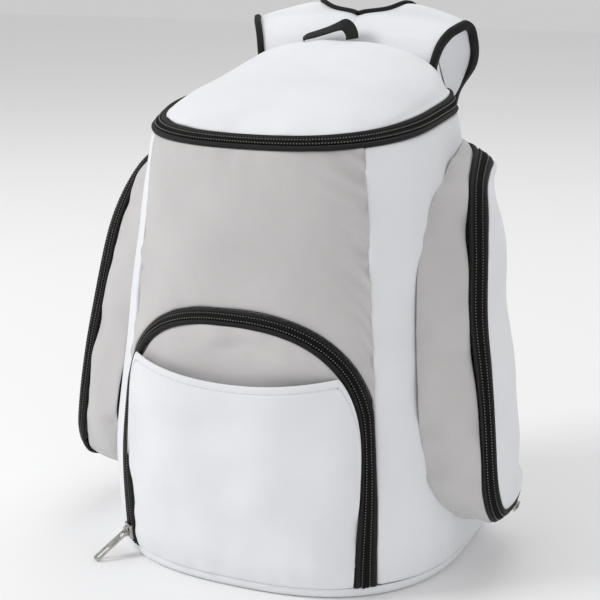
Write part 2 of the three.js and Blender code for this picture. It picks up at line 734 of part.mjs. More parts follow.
function lidZip() {
  const stations = lidStations();
  const edge = (share, out) => stations.map((station) => {
    const point = station.low.clone().lerp(station.high, share);
    if (share < 0.1) return point.addScaledVector(station.lowMitre, out);
    if (share > 0.9) return point.addScaledVector(station.highMitre, out);
    return point.addScaledVector(station.normal, out);
  });
  const gapShare = seamGap / 2 / lidZipWidth;
  const shares = [gapShare, 1 - gapShare];
  add('lid_zip_tape', closedSheet(
    shares.map((share) => edge(share, 0)),
    shares.map((share) => edge(share, -cloth)),
  ), black);
  const half = coilWidth / 2 / lidZipWidth;
  const coil = [0.5 - half, 0.5 + half];
  add('lid_zip_coil', closedSheet(
    coil.map((share) => edge(share, seamGap + coilHeight)),
    coil.map((share) => edge(share, seamGap)),
  ), coilBlack);
}

function frontPocket() {
  const inset = frontZipWidth + seamGap / 2;
  const foot = baseSeamHeight + seamGap;
  const halfAt = (z) => {
    const height = Math.min(z, archSpringHeight);
    return archHalf(height) - legInset(height, inset);
  };
  const faceAt = (top) => (rowShare, colShare) => {
    const u = Math.sin((colShare - 0.5) * Math.PI);
    const z = lerp(foot, top(u * halfAt(archSpringHeight)), rowShare);
    return frontPoint(u * halfAt(z), z);
  };
  const archTop = (x) => archHeight(x, inset);
  add('front_pocket_face', bodySheet(8, 16, faceAt(archTop), 0, cloth), grey);

  // The slip pocket's mouth stands open at its middle, under a hem that dips there
  const hemHeight = (x) => {
    const share = Math.abs(x) / halfAt(archSpringHeight);
    return slipHemSide - slipHemDip * (1 - Math.pow(share, 2));
  };
  const hemTop = (x) => Math.min(hemHeight(x), archHeight(x, inset) - seamGap);
  const proudAt = (x, z, top) => {
    const across = Math.abs(x) / halfAt(archSpringHeight);
    const up = THREE.MathUtils.clamp((z - foot) / (top - foot), 0, 1);
    return seamGap + slipMouth * (1 - Math.pow(across, 2.5)) * Math.pow(up, 2);
  };
  const slipSheet = (rows, from, to, proud, thickness) => {
    const lay = (extra) => grid(rows, 16, (rowShare, colShare) => {
      const u = Math.sin((colShare - 0.5) * Math.PI);
      const x = u * halfAt(archSpringHeight);
      const top = hemTop(x);
      const z = lerp(from(top), to(top), rowShare);
      const point = frontPoint(u * halfAt(z), z);
      return proudOf(point, proudAt(point.x, z, top) + extra);
    });
    return closedSheet(lay(proud + thickness), lay(proud));
  };
  const sheet = slipSheet(8, () => foot, (top) => top - hemWidth - seamGap / 2, 0, cloth);
  add('slip_pocket', sheet, white);
  const hem = slipSheet(2, (top) => top - hemWidth + seamGap / 2, (top) => top, -0.1, cloth + 0.7);
  add('slip_pocket_hem', hem, white);

  // The insulated wall behind the pocket, seamed to the side walls and to the front above
  const wallAt = (rowShare, colShare) => {
    const u = (colShare - 0.5) * 2;
    const z = lerp(cloth * 2 + 1.2, pocketBackTop, rowShare);
    const section = bodySection(z);
    const edge = section.seam + paddedWall;
    const point = frontPoint(u * edge, z);
    const top = THREE.MathUtils.smoothstep(z, pocketBackTop - 70, pocketBackTop);
    const middle = 1 - Math.pow(Math.abs(u), 6);
    const drop = paddedWall + seamGap * 2.5 + (pocketDrop - paddedWall) * middle * (1 - top);
    const low = THREE.MathUtils.smoothstep(baseSeamHeight * 3 - z, 0, baseSeamHeight * 2);
    return proudOf(point, -drop - low * (baseFootInset + 2));
  };
  const outer = grid(8, 12, wallAt);
  const inner = outer.map((line) => line.map((point) => proudOf(point, -cloth * 2)));
  add('pocket_back_wall', closedSheet(outer, inner), white);
}

function frontZip() {
  const stations = archStations();
  const gapShare = seamGap / 2 / frontZipWidth;
  const strip = (shares, out) => shares.map((share) => stations
    .map((station) => proudOf(bandPoint(station, share), out)));
  const tape = [gapShare, 0.5, 1 - gapShare];
  add('front_zip_tape', closedSheet(strip(tape, 0), strip(tape, -cloth)), black);
  const half = coilWidth / 2 / frontZipWidth;
  const coil = [0.5 - half, 0.5 + half];
  add('front_zip_coil', closedSheet(
    strip(coil, seamGap + coilHeight),
    strip(coil, seamGap),
  ), coilBlack);
}

// The frame of the front zip's slider: out of the band, up along it and across it
function sliderFrame() {
  const station = (z) => ({
    outer: [-archHalf(z), z],
    inner: [-archHalf(z) + legInset(z, frontZipWidth), z],
  });
  const place = bandPoint(station(sliderHeight), 0.5);
  const out = bodyNormal(place);
  const up = bandPoint(station(sliderHeight + 5), 0.5).sub(place);
  up.addScaledVector(out, -up.dot(out)).normalize();
  const across = new THREE.Vector3().crossVectors(up, out).normalize();
  return { place, out, up, across };
}

function placed(geometry, frame) {
  const matrix = new THREE.Matrix4().makeBasis(frame.across, frame.up, frame.out);
  geometry.applyMatrix4(matrix.setPosition(frame.place));
  return geometry;
}

function roundedShape(halfWidth, from, to, radius) {
  const shape = new THREE.Shape();
  shape.moveTo(-halfWidth + radius, from);
  shape.lineTo(halfWidth - radius, from);
  shape.quadraticCurveTo(halfWidth, from, halfWidth, from + radius);
  shape.lineTo(halfWidth, to - radius);
  shape.quadraticCurveTo(halfWidth, to, halfWidth - radius, to);
  shape.lineTo(-halfWidth + radius, to);
  shape.quadraticCurveTo(-halfWidth, to, -halfWidth, to - radius);
  shape.lineTo(-halfWidth, from + radius);
  shape.quadraticCurveTo(-halfWidth, from, -halfWidth + radius, from);
  return shape;
}

function toManifold(geometry) {
  const bare = geometry.clone();
  bare.deleteAttribute('normal');
  bare.deleteAttribute('uv');
  const merged = mergeVertices(bare, 1e-4);
  return new wasm.Manifold(new wasm.Mesh({
    numProp: 3,
    vertProperties: merged.attributes.position.array,
    triVerts: new Uint32Array(merged.index.array),
  }));
}

function fromManifold(solid) {
  const mesh = solid.getMesh();
  const geometry = new THREE.BufferGeometry();
  geometry.setAttribute('position', new THREE.BufferAttribute(mesh.vertProperties, 3));
  geometry.setIndex(new THREE.BufferAttribute(mesh.triVerts, 1));
  return geometry;
}

function polygon(points) {
  return new THREE.Shape(points.map(([x, y]) => new THREE.Vector2(x, y)));
}

// The slider straddles the coil, with a bridge on its top plate for the puller
function frontSlider() {
  const frame = sliderFrame();
  const low = seamGap;
  const clear = seamGap + coilHeight + seamGap;
  const top = clear + sliderWall;
  const inner = coilWidth / 2 + seamGap;
  const half = inner + sliderWall;
  const channel = polygon([
    [-half, low], [-inner, low], [-inner, clear], [inner, clear],
    [inner, low], [half, low], [half, top], [-half, top],
  ]);
  const body = new THREE.ExtrudeGeometry(channel, { depth: sliderLength, bevelEnabled: false });
  body.translate(0, 0, -sliderLength / 2);
  // The channel lies across and out, and runs along the zip
  body.applyMatrix4(new THREE.Matrix4().makeBasis(
    new THREE.Vector3(1, 0, 0),
    new THREE.Vector3(0, 0, 1),
    new THREE.Vector3(0, -1, 0),
  ));
  const reach = bridgeLength / 2;
  const sunk = sliderWall / 2;
  const arch = polygon([
    [-reach, -sunk], [-reach + bridgeWall, -sunk], [-reach + bridgeWall, bridgeClear],
    [reach - bridgeWall, bridgeClear], [reach - bridgeWall, -sunk], [reach, -sunk],
    [reach, bridgeClear], [reach - bridgeWall, bridgeClear + bridgeWall],
    [-reach + bridgeWall, bridgeClear + bridgeWall], [-reach, bridgeClear],
  ]);
  const bridge = new THREE.ExtrudeGeometry(arch, { depth: bridgeWidth, bevelEnabled: false });
  bridge.translate(0, 0, -bridgeWidth / 2);
  bridge.applyMatrix4(new THREE.Matrix4().makeBasis(
    new THREE.Vector3(0, 1, 0),
    new THREE.Vector3(0, 0, 1),
    new THREE.Vector3(1, 0, 0),
  ));
  bridge.translate(0, 0, top);
  const slider = fromManifold(toManifold(body).add(toManifold(bridge)));
  add('front_zip_slider', placed(slider, frame), nickel);

  const pivot = frame.place.clone().addScaledVector(frame.out, top + bridgeClear / 2);
  const drop = THREE.MathUtils.degToRad(pullerDrop);
  const along = frame.out.clone().multiplyScalar(Math.cos(drop)).addScaledVector(frame.up, -Math.sin(drop));
  const face = new THREE.Vector3().crossVectors(frame.across, along);
  add('front_zip_puller', placed(pullerPlate(), {
    place: pivot,
    across: frame.across,
    up: along,
    out: face,
  }), nickel);
}

// A flat pull with a window round the bridge and a long oval hole at its free end
function pullerPlate() {
  const bar = pullerThickness / 2 + 0.25;
  const half = pullerWidth / 2;
  const plate = roundedShape(half, -bar, pullerLength - bar, half * 0.55);
  const window = roundedShape(half - 1.7, bar, bar + bridgeLength * 0.62, 0.6);
  const oval = roundedShape(half - 1.8, pullerLength * 0.55, pullerLength - bar - 2.2, 1.8);
  plate.holes.push(window, oval);
  const settings = { depth: pullerThickness, bevelEnabled: false, curveSegments: 3 };
  const geometry = new THREE.ExtrudeGeometry(plate, settings);
  return geometry.translate(0, 0, -pullerThickness / 2);
}

// A small plain slider that sits on a coil where it is hidden
function plainSlider(name, place, out, along) {
  const across = new THREE.Vector3().crossVectors(along, out).normalize();
  const up = new THREE.Vector3().crossVectors(out, across);
  const block = new THREE.BoxGeometry(coilWidth + 2, sliderLength * 0.8, sliderWall * 2);
  block.translate(0, 0, sliderWall + seamGap);
  add(name, placed(block, { place, across, up, out }), nickel);
}

// One side pocket: a gusset, a zip band and an outer panel, cut from one shell
function sidePocketShell(side) {
  const panelShares = [0.2, 0.44, 0.68, 0.88, 1];
  const numbered = sidePocket.map((row, station) => ({ ...row, station }));
  const between = 2;
  const stations = [];
  for (let step = 0; step <= (sidePocket.length - 1) * between; step += 1) {
    const smooth = {};
    for (const name of Object.keys(sidePocket[0])) {
      smooth[name] = column(numbered, 'station', name, step / between);
    }
    stations.push(smooth);
  }
  return stations.map((row) => {
    const depth = (share) => share * bagFrontDepth;
    const height = (share) => share * bagHeight;
    const stand = (point, out) => point.add(new THREE.Vector3(side * out * sidePocketDepth, 0, 0));
    const seam = proudOf(sidePoint(side, depth(row.seamDepth), height(row.seamHeight)), seamRest);
    const inner = stand(sidePoint(side, depth(row.innerDepth), height(row.innerHeight)), row.innerOut);
    const outer = stand(sidePoint(side, depth(row.outerDepth), height(row.outerHeight)), row.outerOut);
    const rear = proudOf(sidePoint(side, sidePocketRearDepth, height(row.rearHeight)), seamRest);
    const gusset = seam.clone().lerp(inner, 0.5);
    const fromEnd = Math.min(outer.z - height(0.13), height(0.78) - outer.z);
    const full = THREE.MathUtils.smoothstep(fromEnd, -10, 60);
    const panel = panelShares.map((share) => {
      const point = outer.clone().lerp(rear, share);
      point.x = lerp(outer.x, rear.x, Math.pow(share, lerp(2.1, 2.7, full)));
      point.x += side * sidePocketBulge * full * Math.sin(Math.PI * share);
      return point;
    });
    return [seam, gusset, inner, outer, ...panel];
  });
}

// Averaged directions out of a grid of points
function gridNormals(points, towards) {
  const last = points.length - 1;
  const end = points[0].length - 1;
  return points.map((line, row) => line.map((point, col) => {
    const down = points[Math.min(row + 1, last)][col].clone().sub(points[Math.max(row - 1, 0)][col]);
    const before = point.clone().sub(line[Math.max(col - 1, 0)]);
    const after = line[Math.min(col + 1, end)].clone().sub(point);
    const normal = new THREE.Vector3();
    for (const across of [before, after]) {
      if (across.lengthSq() === 0) continue;
      normal.add(new THREE.Vector3().crossVectors(down, across).normalize());
    }
    normal.normalize();
    return normal.dot(towards) < 0 ? normal.negate() : normal;
  }));
}

function sidePocketPieces(name, side) {
  const outer = sidePocketShell(side);
  const normals = gridNormals(outer, new THREE.Vector3(side, 0, 0));
  const inner = outer.map((line, row) => line.map((point, col) => {
    const direction = normals[row][col];
    const shifted = point.clone().addScaledVector(direction, -cloth);
    if (col > 0 && col < line.length - 1) return shifted;
    return proudOf(sidePoint(side, shifted.y, shifted.z), seamRest);
  }));
  const cut = (points, from, to) => points.map((line) => {
    const near = (col, towards) => {
      const length = line[col].distanceTo(line[towards]);
      return line[col].clone().lerp(line[towards], Math.min(seamGap / 2 / length, 0.4));
    };
    const start = from === 0 ? line[0] : near(from, from + 1);
    const end = to === line.length - 1 ? line[to] : near(to, to - 1);
    return [start, ...line.slice(from + 1, to), end];
  });
  const piece = (from, to) => closedSheet(cut(outer, from, to), cut(inner, from, to));
  const last = outer[0].length - 1;
  add(`side_pocket_gusset_${name}`, piece(0, 2), grey);
  add(`side_zip_tape_${name}`, piece(2, 3), black);
  add(`side_pocket_panel_${name}`, piece(3, last), white);

  const bandOut = normals.map((line) => line[2].clone().add(line[3]).normalize());
  const bandMiddle = outer.map((line) => line[2].clone().lerp(line[3], 0.5));
  const coilAt = (share, out) => outer.map((line, row) => {
    const width = line[2].distanceTo(line[3]);
    const place = line[2].clone().lerp(line[3], 0.5 + share * coilWidth / width);
    return place.addScaledVector(bandOut[row], out);
  });
  const trim = (stations) => stations.slice(3, -3);
  const layer = (out) => [trim(coilAt(-0.5, out)), trim(coilAt(0.5, out))];
  add(`side_zip_coil_${name}`, closedSheet(layer(seamRest + coilHeight), layer(seamRest)), coilBlack);

  const row = outer.length - 7;
  const out = bandOut[row];
  const place = bandMiddle[row].clone().addScaledVector(out, seamRest * 2 + coilHeight);
  const along = bandMiddle[row + 1].clone().sub(bandMiddle[row - 1]).normalize();
  plainSlider(`side_zip_slider_${name}`, place, out, along);
}

function strapPoint(side, row, share) {
  const inner = row.inner * bagHalfWidth;
  const outer = row.outer * bagHalfWidth;
  const x = lerp(inner, outer, share);
  const z = lerp(row.innerHeight, row.outerHeight, share) * bagHeight;
  const panel = backPoint(x, Math.min(z, bagHeight)).y;
  const y = panel + seamGap + strapThickness / 2 + row.depth * bagBackDepth;
  return new THREE.Vector3(side * x, y, z);
}

function strap(name, side) {
  const columns = 4;
  const middle = strapSections.map((row) => {
    const line = [];
    for (let col = 0; col <= columns; col += 1) line.push(strapPoint(side, row, col / columns));
    return line;
  });
  const last = middle.length - 1;
  const normals = middle.map((line, row) => line.map((point, col) => {
    const down = middle[Math.min(row + 1, last)][col].clone().sub(middle[Math.max(row - 1, 0)][col]);
    const across = line[Math.min(col + 1, columns)].clone().sub(line[Math.max(col - 1, 0)]);
    return new THREE.Vector3().crossVectors(across, down).normalize().multiplyScalar(side);
  }));
  const lay = (out) => middle.map((line, row) => line
    .map((point, col) => point.clone().addScaledVector(normals[row][col], out)));
  add(`shoulder_strap_${name}`, closedSheet(lay(strapThickness / 2), lay(-strapThickness / 2)), white);

  const reach = strapThickness / 2 + bindingProud;
  const edgeBar = (col, away, from, width) => {
    const stations = middle.slice(from).map((line, index) => {
      const row = index + from;
      const after = middle[Math.min(row + 1, last)][col];
      const across = after.clone().sub(middle[row - 1][col]).cross(normals[row][col]).normalize();
      if (across.dot(line[col].clone().sub(line[away])) < 0) across.negate();
      const place = line[col].clone().addScaledVector(across, seamRest + width / 2);
      return { place, across, out: normals[row][col] };
    });
    return bar(stations, width / 2, -reach, reach);
  };
  add(`strap_binding_outer_${name}`, edgeBar(columns, columns - 1, 1, bindingWidth), black);
  add(`strap_binding_inner_${name}`, edgeBar(0, 1, 5, neckBindingWidth), black);

  // The adjuster hangs on the strap's end, and the webbing runs from it to the bag's foot
  const endLine = middle[last];
  const endMiddle = endLine[columns / 2];
  const down = endMiddle.clone().sub(middle[last - 1][columns / 2]).normalize();
  const out = normals[last][columns / 2];
  const across = new THREE.Vector3().crossVectors(down, out).normalize();
  const frame = { across, up: down, out };
  frame.place = endMiddle.clone().addScaledVector(down, seamRest + adjusterLength / 2);
  const plate = roundedShape(webbingWidth / 2 + 3, -adjusterLength / 2, adjusterLength / 2, 2);
  const slot = (centre) => roundedShape(webbingWidth / 2 + 0.5, centre - 2, centre + 2, 0.8);
  plate.holes.push(slot(-adjusterLength / 4), slot(adjusterLength / 4));
  const lock = new THREE.ExtrudeGeometry(plate, { depth: 4, bevelEnabled: false, curveSegments: 1 });
  const right = new THREE.Matrix4().makeBasis(across, down, new THREE.Vector3().crossVectors(across, down));
  lock.translate(0, 0, -2).applyMatrix4(right.setPosition(frame.place));
  add(`strap_adjuster_${name}`, lock, black);

  const start = frame.place.clone().addScaledVector(down, seamRest + adjusterLength / 2);
  const footX = bagHalfWidth * 0.72;
  const foot = backPoint(side * footX, webbingFoot);
  const rest = seamGap + webbingThickness / 2;
  const steps = 8;
  const stations = [start];
  for (let step = 1; step <= steps; step += 1) {
    const share = step / steps;
    const x = lerp(start.x, foot.x, share * share);
    const z = lerp(start.z, foot.z, share);
    const lift = (start.y - backPoint(start.x, start.z).y - rest) * Math.pow(1 - share, 1.6);
    stations.push(proudOf(backPoint(x, z), rest + lift));
  }
  const flat = (index) => {
    if (index === 0) return across.toArray();
    const normal = bodyNormal(backPoint(stations[index].x, stations[index].z));
    return [normal.y, -normal.x, 0];
  };
  add(`strap_webbing_${name}`, ribbon(stations, webbingWidth, webbingThickness, flat), black);
}

// A flat ribbon along points, its width along a direction given for each of them
function ribbon(points, width, thickness, widthAlong) {
  const last = points.length - 1;
  const stations = points.map((place, index) => {
    const along = points[Math.min(index + 1, last)].clone().sub(points[Math.max(index - 1, 0)]).normalize();
    const across = new THREE.Vector3(...widthAlong(index, along));
    across.addScaledVector(along, -across.dot(along)).normalize();
    return { place, across, out: new THREE.Vector3().crossVectors(across, along) };
  });
  return bar(stations, width / 2, -thickness / 2, thickness / 2);
}

function haul() {
  const points = haulLoop.map((row) => {
    const x = row.across * bagHalfWidth;
    const edge = backArchHeight(x);
    const y = backPoint(x, edge).y - paddedWall / 2 + row.depth * bagBackDepth;
    return new THREE.Vector3(x, y, edge + row.rise * bagHeight);
  });
  const widthAlong = (index, along) => {
    const twist = THREE.MathUtils.degToRad(haulLoop[index].twist);
    const back = new THREE.Vector3(0, 1, 0);
    const sideways = new THREE.Vector3().crossVectors(along, back);
    return back.multiplyScalar(Math.cos(twist)).addScaledVector(sideways, Math.sin(twist)).toArray();
  };
  add('haul_loop', ribbon(points, loopWidth, loopThickness, widthAlong), black);
}

function hiddenLidSlider() {
  const stations = lidStations();
  const station = stations[2];
  const place = station.low.clone().lerp(station.high, 0.5);
  place.addScaledVector(station.normal, seamGap + coilHeight);
  const along = stations[3].low.clone().sub(stations[1].low).normalize();
  plainSlider('lid_zip_slider', place, station.normal, along);
}

basePanel();
frontPanel();
sidePanel('side_panel_left', -1);
sidePanel('side_panel_right', 1);
backPanel();
lidPanel();
lidZip();
hiddenLidSlider();
frontPocket();
frontZip();
frontSlider();
sidePocketPieces('left', -1);
sidePocketPieces('right', 1);
strap('left', -1);
strap('right', 1);
haul();

export default group;
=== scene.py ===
import math
import bpy
import bmesh
from mathutils import Matrix, Vector, noise


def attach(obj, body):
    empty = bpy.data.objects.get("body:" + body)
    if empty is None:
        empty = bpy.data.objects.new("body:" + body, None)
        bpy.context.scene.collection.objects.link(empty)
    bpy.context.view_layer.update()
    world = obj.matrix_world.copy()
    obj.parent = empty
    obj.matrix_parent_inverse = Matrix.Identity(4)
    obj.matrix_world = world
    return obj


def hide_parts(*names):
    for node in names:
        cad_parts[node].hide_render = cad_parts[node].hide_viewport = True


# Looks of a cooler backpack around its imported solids. Lengths are in millimetres, as in the
# solids, and every mesh is put into metres when its object is made. The front faces -Y.

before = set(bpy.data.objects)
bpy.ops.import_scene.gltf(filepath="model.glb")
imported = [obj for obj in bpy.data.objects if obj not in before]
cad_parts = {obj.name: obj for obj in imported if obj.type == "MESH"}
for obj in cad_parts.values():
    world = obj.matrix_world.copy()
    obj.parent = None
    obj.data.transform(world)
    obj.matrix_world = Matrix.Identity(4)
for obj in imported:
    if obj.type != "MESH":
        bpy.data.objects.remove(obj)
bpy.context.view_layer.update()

MM = 0.001

# Sizes of the body, the same as the solids'
BAG_HEIGHT = 434
BAG_HALF_WIDTH = 161.5
BAG_FRONT_DEPTH = 153
BAG_BACK_DEPTH = 97
FRONT_ROUNDNESS = 2.5
BACK_ROUNDNESS = 6
PADDED_WALL = 4
CLOTH = 1.6
SEAM_GAP = 0.4
SEAM_REST = 0.8
FRONT_WALL = 2.0
NYLON = 1.4
FLOOR_WALL = 3.0
POCKET_BACK_WALL = 3.0
BASE_SEAM_HEIGHT = 9

# Sizes of the lid
LID_ZIP_HEIGHT = BAG_HEIGHT - 70
LID_ZIP_RISE = 17
LID_ZIP_WIDTH = 17
LID_CROWN = 7
LID_BACK_HALF_WIDTH = 101
LID_BACK_CORNER_HEIGHT = BAG_HEIGHT - 35
LID_CORNER_PLACE = 0.33

# Sizes of the zips
COIL_WIDTH = 7.6
COIL_HEIGHT = 2.2
COIL_PITCH = 2.1
# The teeth sizes place the rows of lighter beads that are painted glints on the coil's turns.
TEETH_PITCH = 2.4
TEETH_LENGTH = 1.3
TEETH_THICKNESS = 1.25
TEETH_LIFT = 1.5
TEETH_FROM_MIDDLE = 2.3
TAPE_STEP = 4.0
STITCH_PITCH = 3.4
STITCH_LENGTH = 2.3
STITCH_THICKNESS = 0.6
FRONT_ZIP_WIDTH = 20.5
LEG_TOP_WIDTH = 14.5
ARCH_TOP_WIDTH = 12

# Sizes of the front pocket
ARCH_SPRING = 102.5
ARCH_RISE = 135.5
ARCH_ROUNDNESS = 2.6
POCKET_BACK_TOP = 252
POCKET_SWELL = 8
SLIP_HEM_SIDE = 195
SLIP_HEM_DIP = 14
SLIP_MOUTH = 9
HEM_WIDTH = 7
HEM_STITCH_PITCH = 3.2
HEM_STITCH_THICKNESS = 0.55
POCKET_ROOM = 25

# Sizes of the side pockets
SIDE_POCKET_DEPTH = 46
SIDE_POCKET_BULGE = 6
SIDE_POCKET_REAR = 80
SIDE_POCKET_LOW = 0.13
SIDE_POCKET_HIGH = 0.78
GUSSET_PUFF = 3.0

# Sizes of the harness
STRAP_THICKNESS = 7
BINDING_WIDTH = 4.5
NECK_BINDING_WIDTH = 2.4
BINDING_PROUD = 0.8
WEBBING_WIDTH = 25
WEBBING_THICKNESS = 2
WEBBING_FOOT = 40
ADJUSTER_LENGTH = 20
LOOP_WIDTH = 12
LOOP_THICKNESS = 2

# How finely the pieces are stepped
LID_STEPS = 72
LID_BAND_STEPS = 220
LEG_STEPS = 24
ARCH_STEPS = 90
HEM_STEPS = 120
SIDE_POCKET_STEPS = 170
STRAP_STEPS = 160
BINDING_STEPS = 100
WEBBING_STEPS = 40
LOOP_STEPS = 96

# Body sections from the floor up, as shares: height, width, front, back, front seam
BODY_SECTIONS = [
    (0.0, 0.94, 0.94, 0.955, 0.75),
    (0.021, 0.972, 0.974, 0.98, 0.745),
    (0.092, 0.994, 0.994, 1.0, 0.735),
    (0.219, 1.0, 1.0, 1.0, 0.73),
    (0.346, 0.96, 0.974, 0.985, 0.733),
    (0.518, 0.88, 0.922, 0.955, 0.747),
    (0.668, 0.83, 0.882, 0.93, 0.755),
    (0.783, 0.786, 0.85, 0.91, 0.762),
    (0.839, 0.762, 0.83, 0.9, 0.768),
    (0.93, 0.725, 0.8, 0.88, 0.77),
    (1.0, 0.69, 0.77, 0.87, 0.77),
]

# Band of the lid zip from front to back: turn, lean and rise
LID_BAND = [
    (0.0, 0.84, 0.56),
    (0.42, 0.74, 0.66),
    (0.62, 0.52, 0.78),
    (0.8, 0.4, 0.92),
    (1.0, 0.15, 1.04),
]

# Side pocket from its top back corner, down its front and back along its bottom: station, then
# depth and height of the seam, stand-off, depth and height of the zip's inner edge and of its
# outer edge, and the height of the panel's rear end
SIDE_POCKET = [
    (0, 0.5, 0.815, 0.08, 0.505, 0.809, 0.09, 0.515, 0.764, 0.754),
    (1, 0.43, 0.816, 0.12, 0.455, 0.809, 0.36, 0.485, 0.781, 0.75),
    (2, 0.25, 0.806, 0.3, 0.28, 0.805, 0.62, 0.33, 0.781, 0.738),
    (3, 0.07, 0.787, 0.42, 0.11, 0.791, 0.67, 0.19, 0.768, 0.718),
    (4, -0.15, 0.752, 0.5, -0.06, 0.752, 0.76, 0.03, 0.747, 0.692),
    (5, -0.33, 0.7, 0.58, -0.18, 0.694, 0.86, -0.11, 0.693, 0.655),
    (6, -0.42, 0.63, 0.67, -0.275, 0.62, 0.94, -0.22, 0.62, 0.588),
    (7, -0.47, 0.54, 0.71, -0.345, 0.53, 0.98, -0.3, 0.53, 0.51),
    (8, -0.52, 0.44, 0.76, -0.385, 0.43, 1.0, -0.345, 0.43, 0.42),
    (9, -0.56, 0.34, 0.78, -0.415, 0.335, 1.0, -0.38, 0.335, 0.34),
    (10, -0.56, 0.25, 0.79, -0.445, 0.245, 1.0, -0.4, 0.25, 0.27),
    (11, -0.51, 0.185, 0.83, -0.45, 0.185, 1.02, -0.39, 0.195, 0.222),
    (12, -0.4, 0.137, 0.82, -0.38, 0.137, 1.02, -0.33, 0.157, 0.194),
    (13, -0.24, 0.11, 0.72, -0.24, 0.113, 0.95, -0.2, 0.138, 0.176),
    (14, -0.02, 0.098, 0.65, -0.02, 0.104, 0.88, 0.0, 0.134, 0.166),
    (15, 0.2, 0.096, 0.5, 0.21, 0.106, 0.74, 0.22, 0.136, 0.16),
    (16, 0.4, 0.098, 0.24, 0.42, 0.112, 0.42, 0.43, 0.142, 0.157),
    (17, 0.49, 0.102, 0.08, 0.5, 0.109, 0.09, 0.515, 0.15, 0.156),
]

# Shoulder strap from the back seam, over its ridge and down: station, depth, inner height,
# outer height, inner edge and outer edge
STRAP = [
    (0, 0.0, 0.857, 0.857, -0.006, 0.49),
    (1, 0.03, 0.91, 0.91, -0.006, 0.5),
    (2, 0.07, 0.955, 0.955, -0.006, 0.512),
    (3, 0.14, 0.992, 0.99, -0.006, 0.535),
    (4, 0.25, 1.022, 1.014, -0.006, 0.57),
    (5, 0.37, 1.044, 1.025, 0.004, 0.603),
    (6, 0.44, 1.054, 1.029, 0.15, 0.618),
    (7, 0.51, 1.066, 1.031, 0.25, 0.63),
    (8, 0.63, 1.056, 1.02, 0.29, 0.645),
    (9, 0.71, 1.02, 0.99, 0.3, 0.648),
    (10, 0.74, 0.955, 0.945, 0.3, 0.62),
    (11, 0.71, 0.875, 0.875, 0.3, 0.512),
    (12, 0.6, 0.76, 0.76, 0.3, 0.51),
    (13, 0.47, 0.64, 0.64, 0.31, 0.52),
    (14, 0.35, 0.53, 0.53, 0.325, 0.53),
    (15, 0.28, 0.45, 0.45, 0.34, 0.53),
]

# Flopped haul loop: station, across, depth, rise and twist in degrees
HAUL_LOOP = [
    (0, -0.235, 0.02, 0.003, 22),
    (1, -0.215, 0.03, 0.007, 24),
    (2, -0.165, 0.05, 0.011, 27),
    (3, -0.095, 0.06, 0.018, 30),
    (4, -0.035, 0.06, 0.026, 38),
    (5, 0.005, 0.055, 0.03, 54),
    (6, 0.035, 0.045, 0.024, 70),
    (7, 0.056, 0.03, 0.013, 85),
    (8, 0.062, 0.02, 0.0022, 90),
]


def clamp(value, low=0.0, high=1.0):
    return min(max(value, low), high)


def lerp(start, end, share):
    return start + (end - start) * share


def smooth_step(value, low, high):
    share = clamp((value - low) / (high - low))
    return share * share * (3 - 2 * share)


def column(rows, name, at):
    """A smooth curve through one column of a table, whose first column says where each row is."""
    last = len(rows) - 1
    place = clamp(at, rows[0][0], rows[last][0])
    index = 0
    while index < last - 1 and place > rows[index + 1][0]:
        index += 1

    def slope(row):
        before = rows[max(row - 1, 0)]
        after = rows[min(row + 1, last)]
        return (after[name] - before[name]) / (after[0] - before[0])

    start = rows[index]
    end = rows[index + 1]
    span = end[0] - start[0]
    t = (place - start[0]) / span
    hold_start = 2 * t**3 - 3 * t**2 + 1
    hold_end = 3 * t**2 - 2 * t**3
    leave = (t**3 - 2 * t**2 + t) * span * slope(index)
    arrive = (t**3 - t**2) * span * slope(index + 1)
    return hold_start * start[name] + leave + hold_end * end[name] + arrive


def section_at(z):
    width = column(BODY_SECTIONS, 1, z / BAG_HEIGHT) * BAG_HALF_WIDTH
    front = column(BODY_SECTIONS, 2, z / BAG_HEIGHT) * BAG_FRONT_DEPTH
    back = column(BODY_SECTIONS, 3, z / BAG_HEIGHT) * BAG_BACK_DEPTH
    return width, front, back, column(BODY_SECTIONS, 4, z / BAG_HEIGHT) * width


SECTIONS = [section_at(z) for z in range(BAG_HEIGHT + 2)]


def body_section(z):
    """Half width, front depth, back depth and front seam of the body at a height."""
    place = clamp(z, 0, BAG_HEIGHT)
    low = int(place)
    return [lerp(a, b, place - low) for a, b in zip(SECTIONS[low], SECTIONS[low + 1])]


def body_share(x, y, z):
    width, front, back, _ = body_section(z)
    if y < 0:
        return (abs(x) / width) ** FRONT_ROUNDNESS + (-y / front) ** FRONT_ROUNDNESS
    return (abs(x) / width) ** BACK_ROUNDNESS + (y / back) ** BACK_ROUNDNESS


def body_normal(point):
    x, y, z = point
    step = 0.5
    normal = Vector((
        body_share(x + step, y, z) - body_share(x - step, y, z),
        body_share(x, y + step, z) - body_share(x, y - step, z),
        body_share(x, y, z + step) - body_share(x, y, z - step),
    ))
    return normal.normalized()


def proud_of(point, distance):
    return point + body_normal(point) * distance


def front_point(x, z):
    width, front, _, _ = body_section(z)
    share = max(1 - (abs(x) / width) ** FRONT_ROUNDNESS, 0)
    return Vector((x, -front * share ** (1 / FRONT_ROUNDNESS), z))


def back_point(x, z):
    width, _, back, _ = body_section(z)
    share = max(1 - (abs(x) / width) ** BACK_ROUNDNESS, 0)
    return Vector((x, back * share ** (1 / BACK_ROUNDNESS), z))


def side_point(side, y, z):
    width, front, back, _ = body_section(z)
    roundness = FRONT_ROUNDNESS if y < 0 else BACK_ROUNDNESS
    depth = front if y < 0 else back
    share = max(1 - (abs(y) / depth) ** roundness, 0)
    return Vector((side * width * share ** (1 / roundness), y, z))


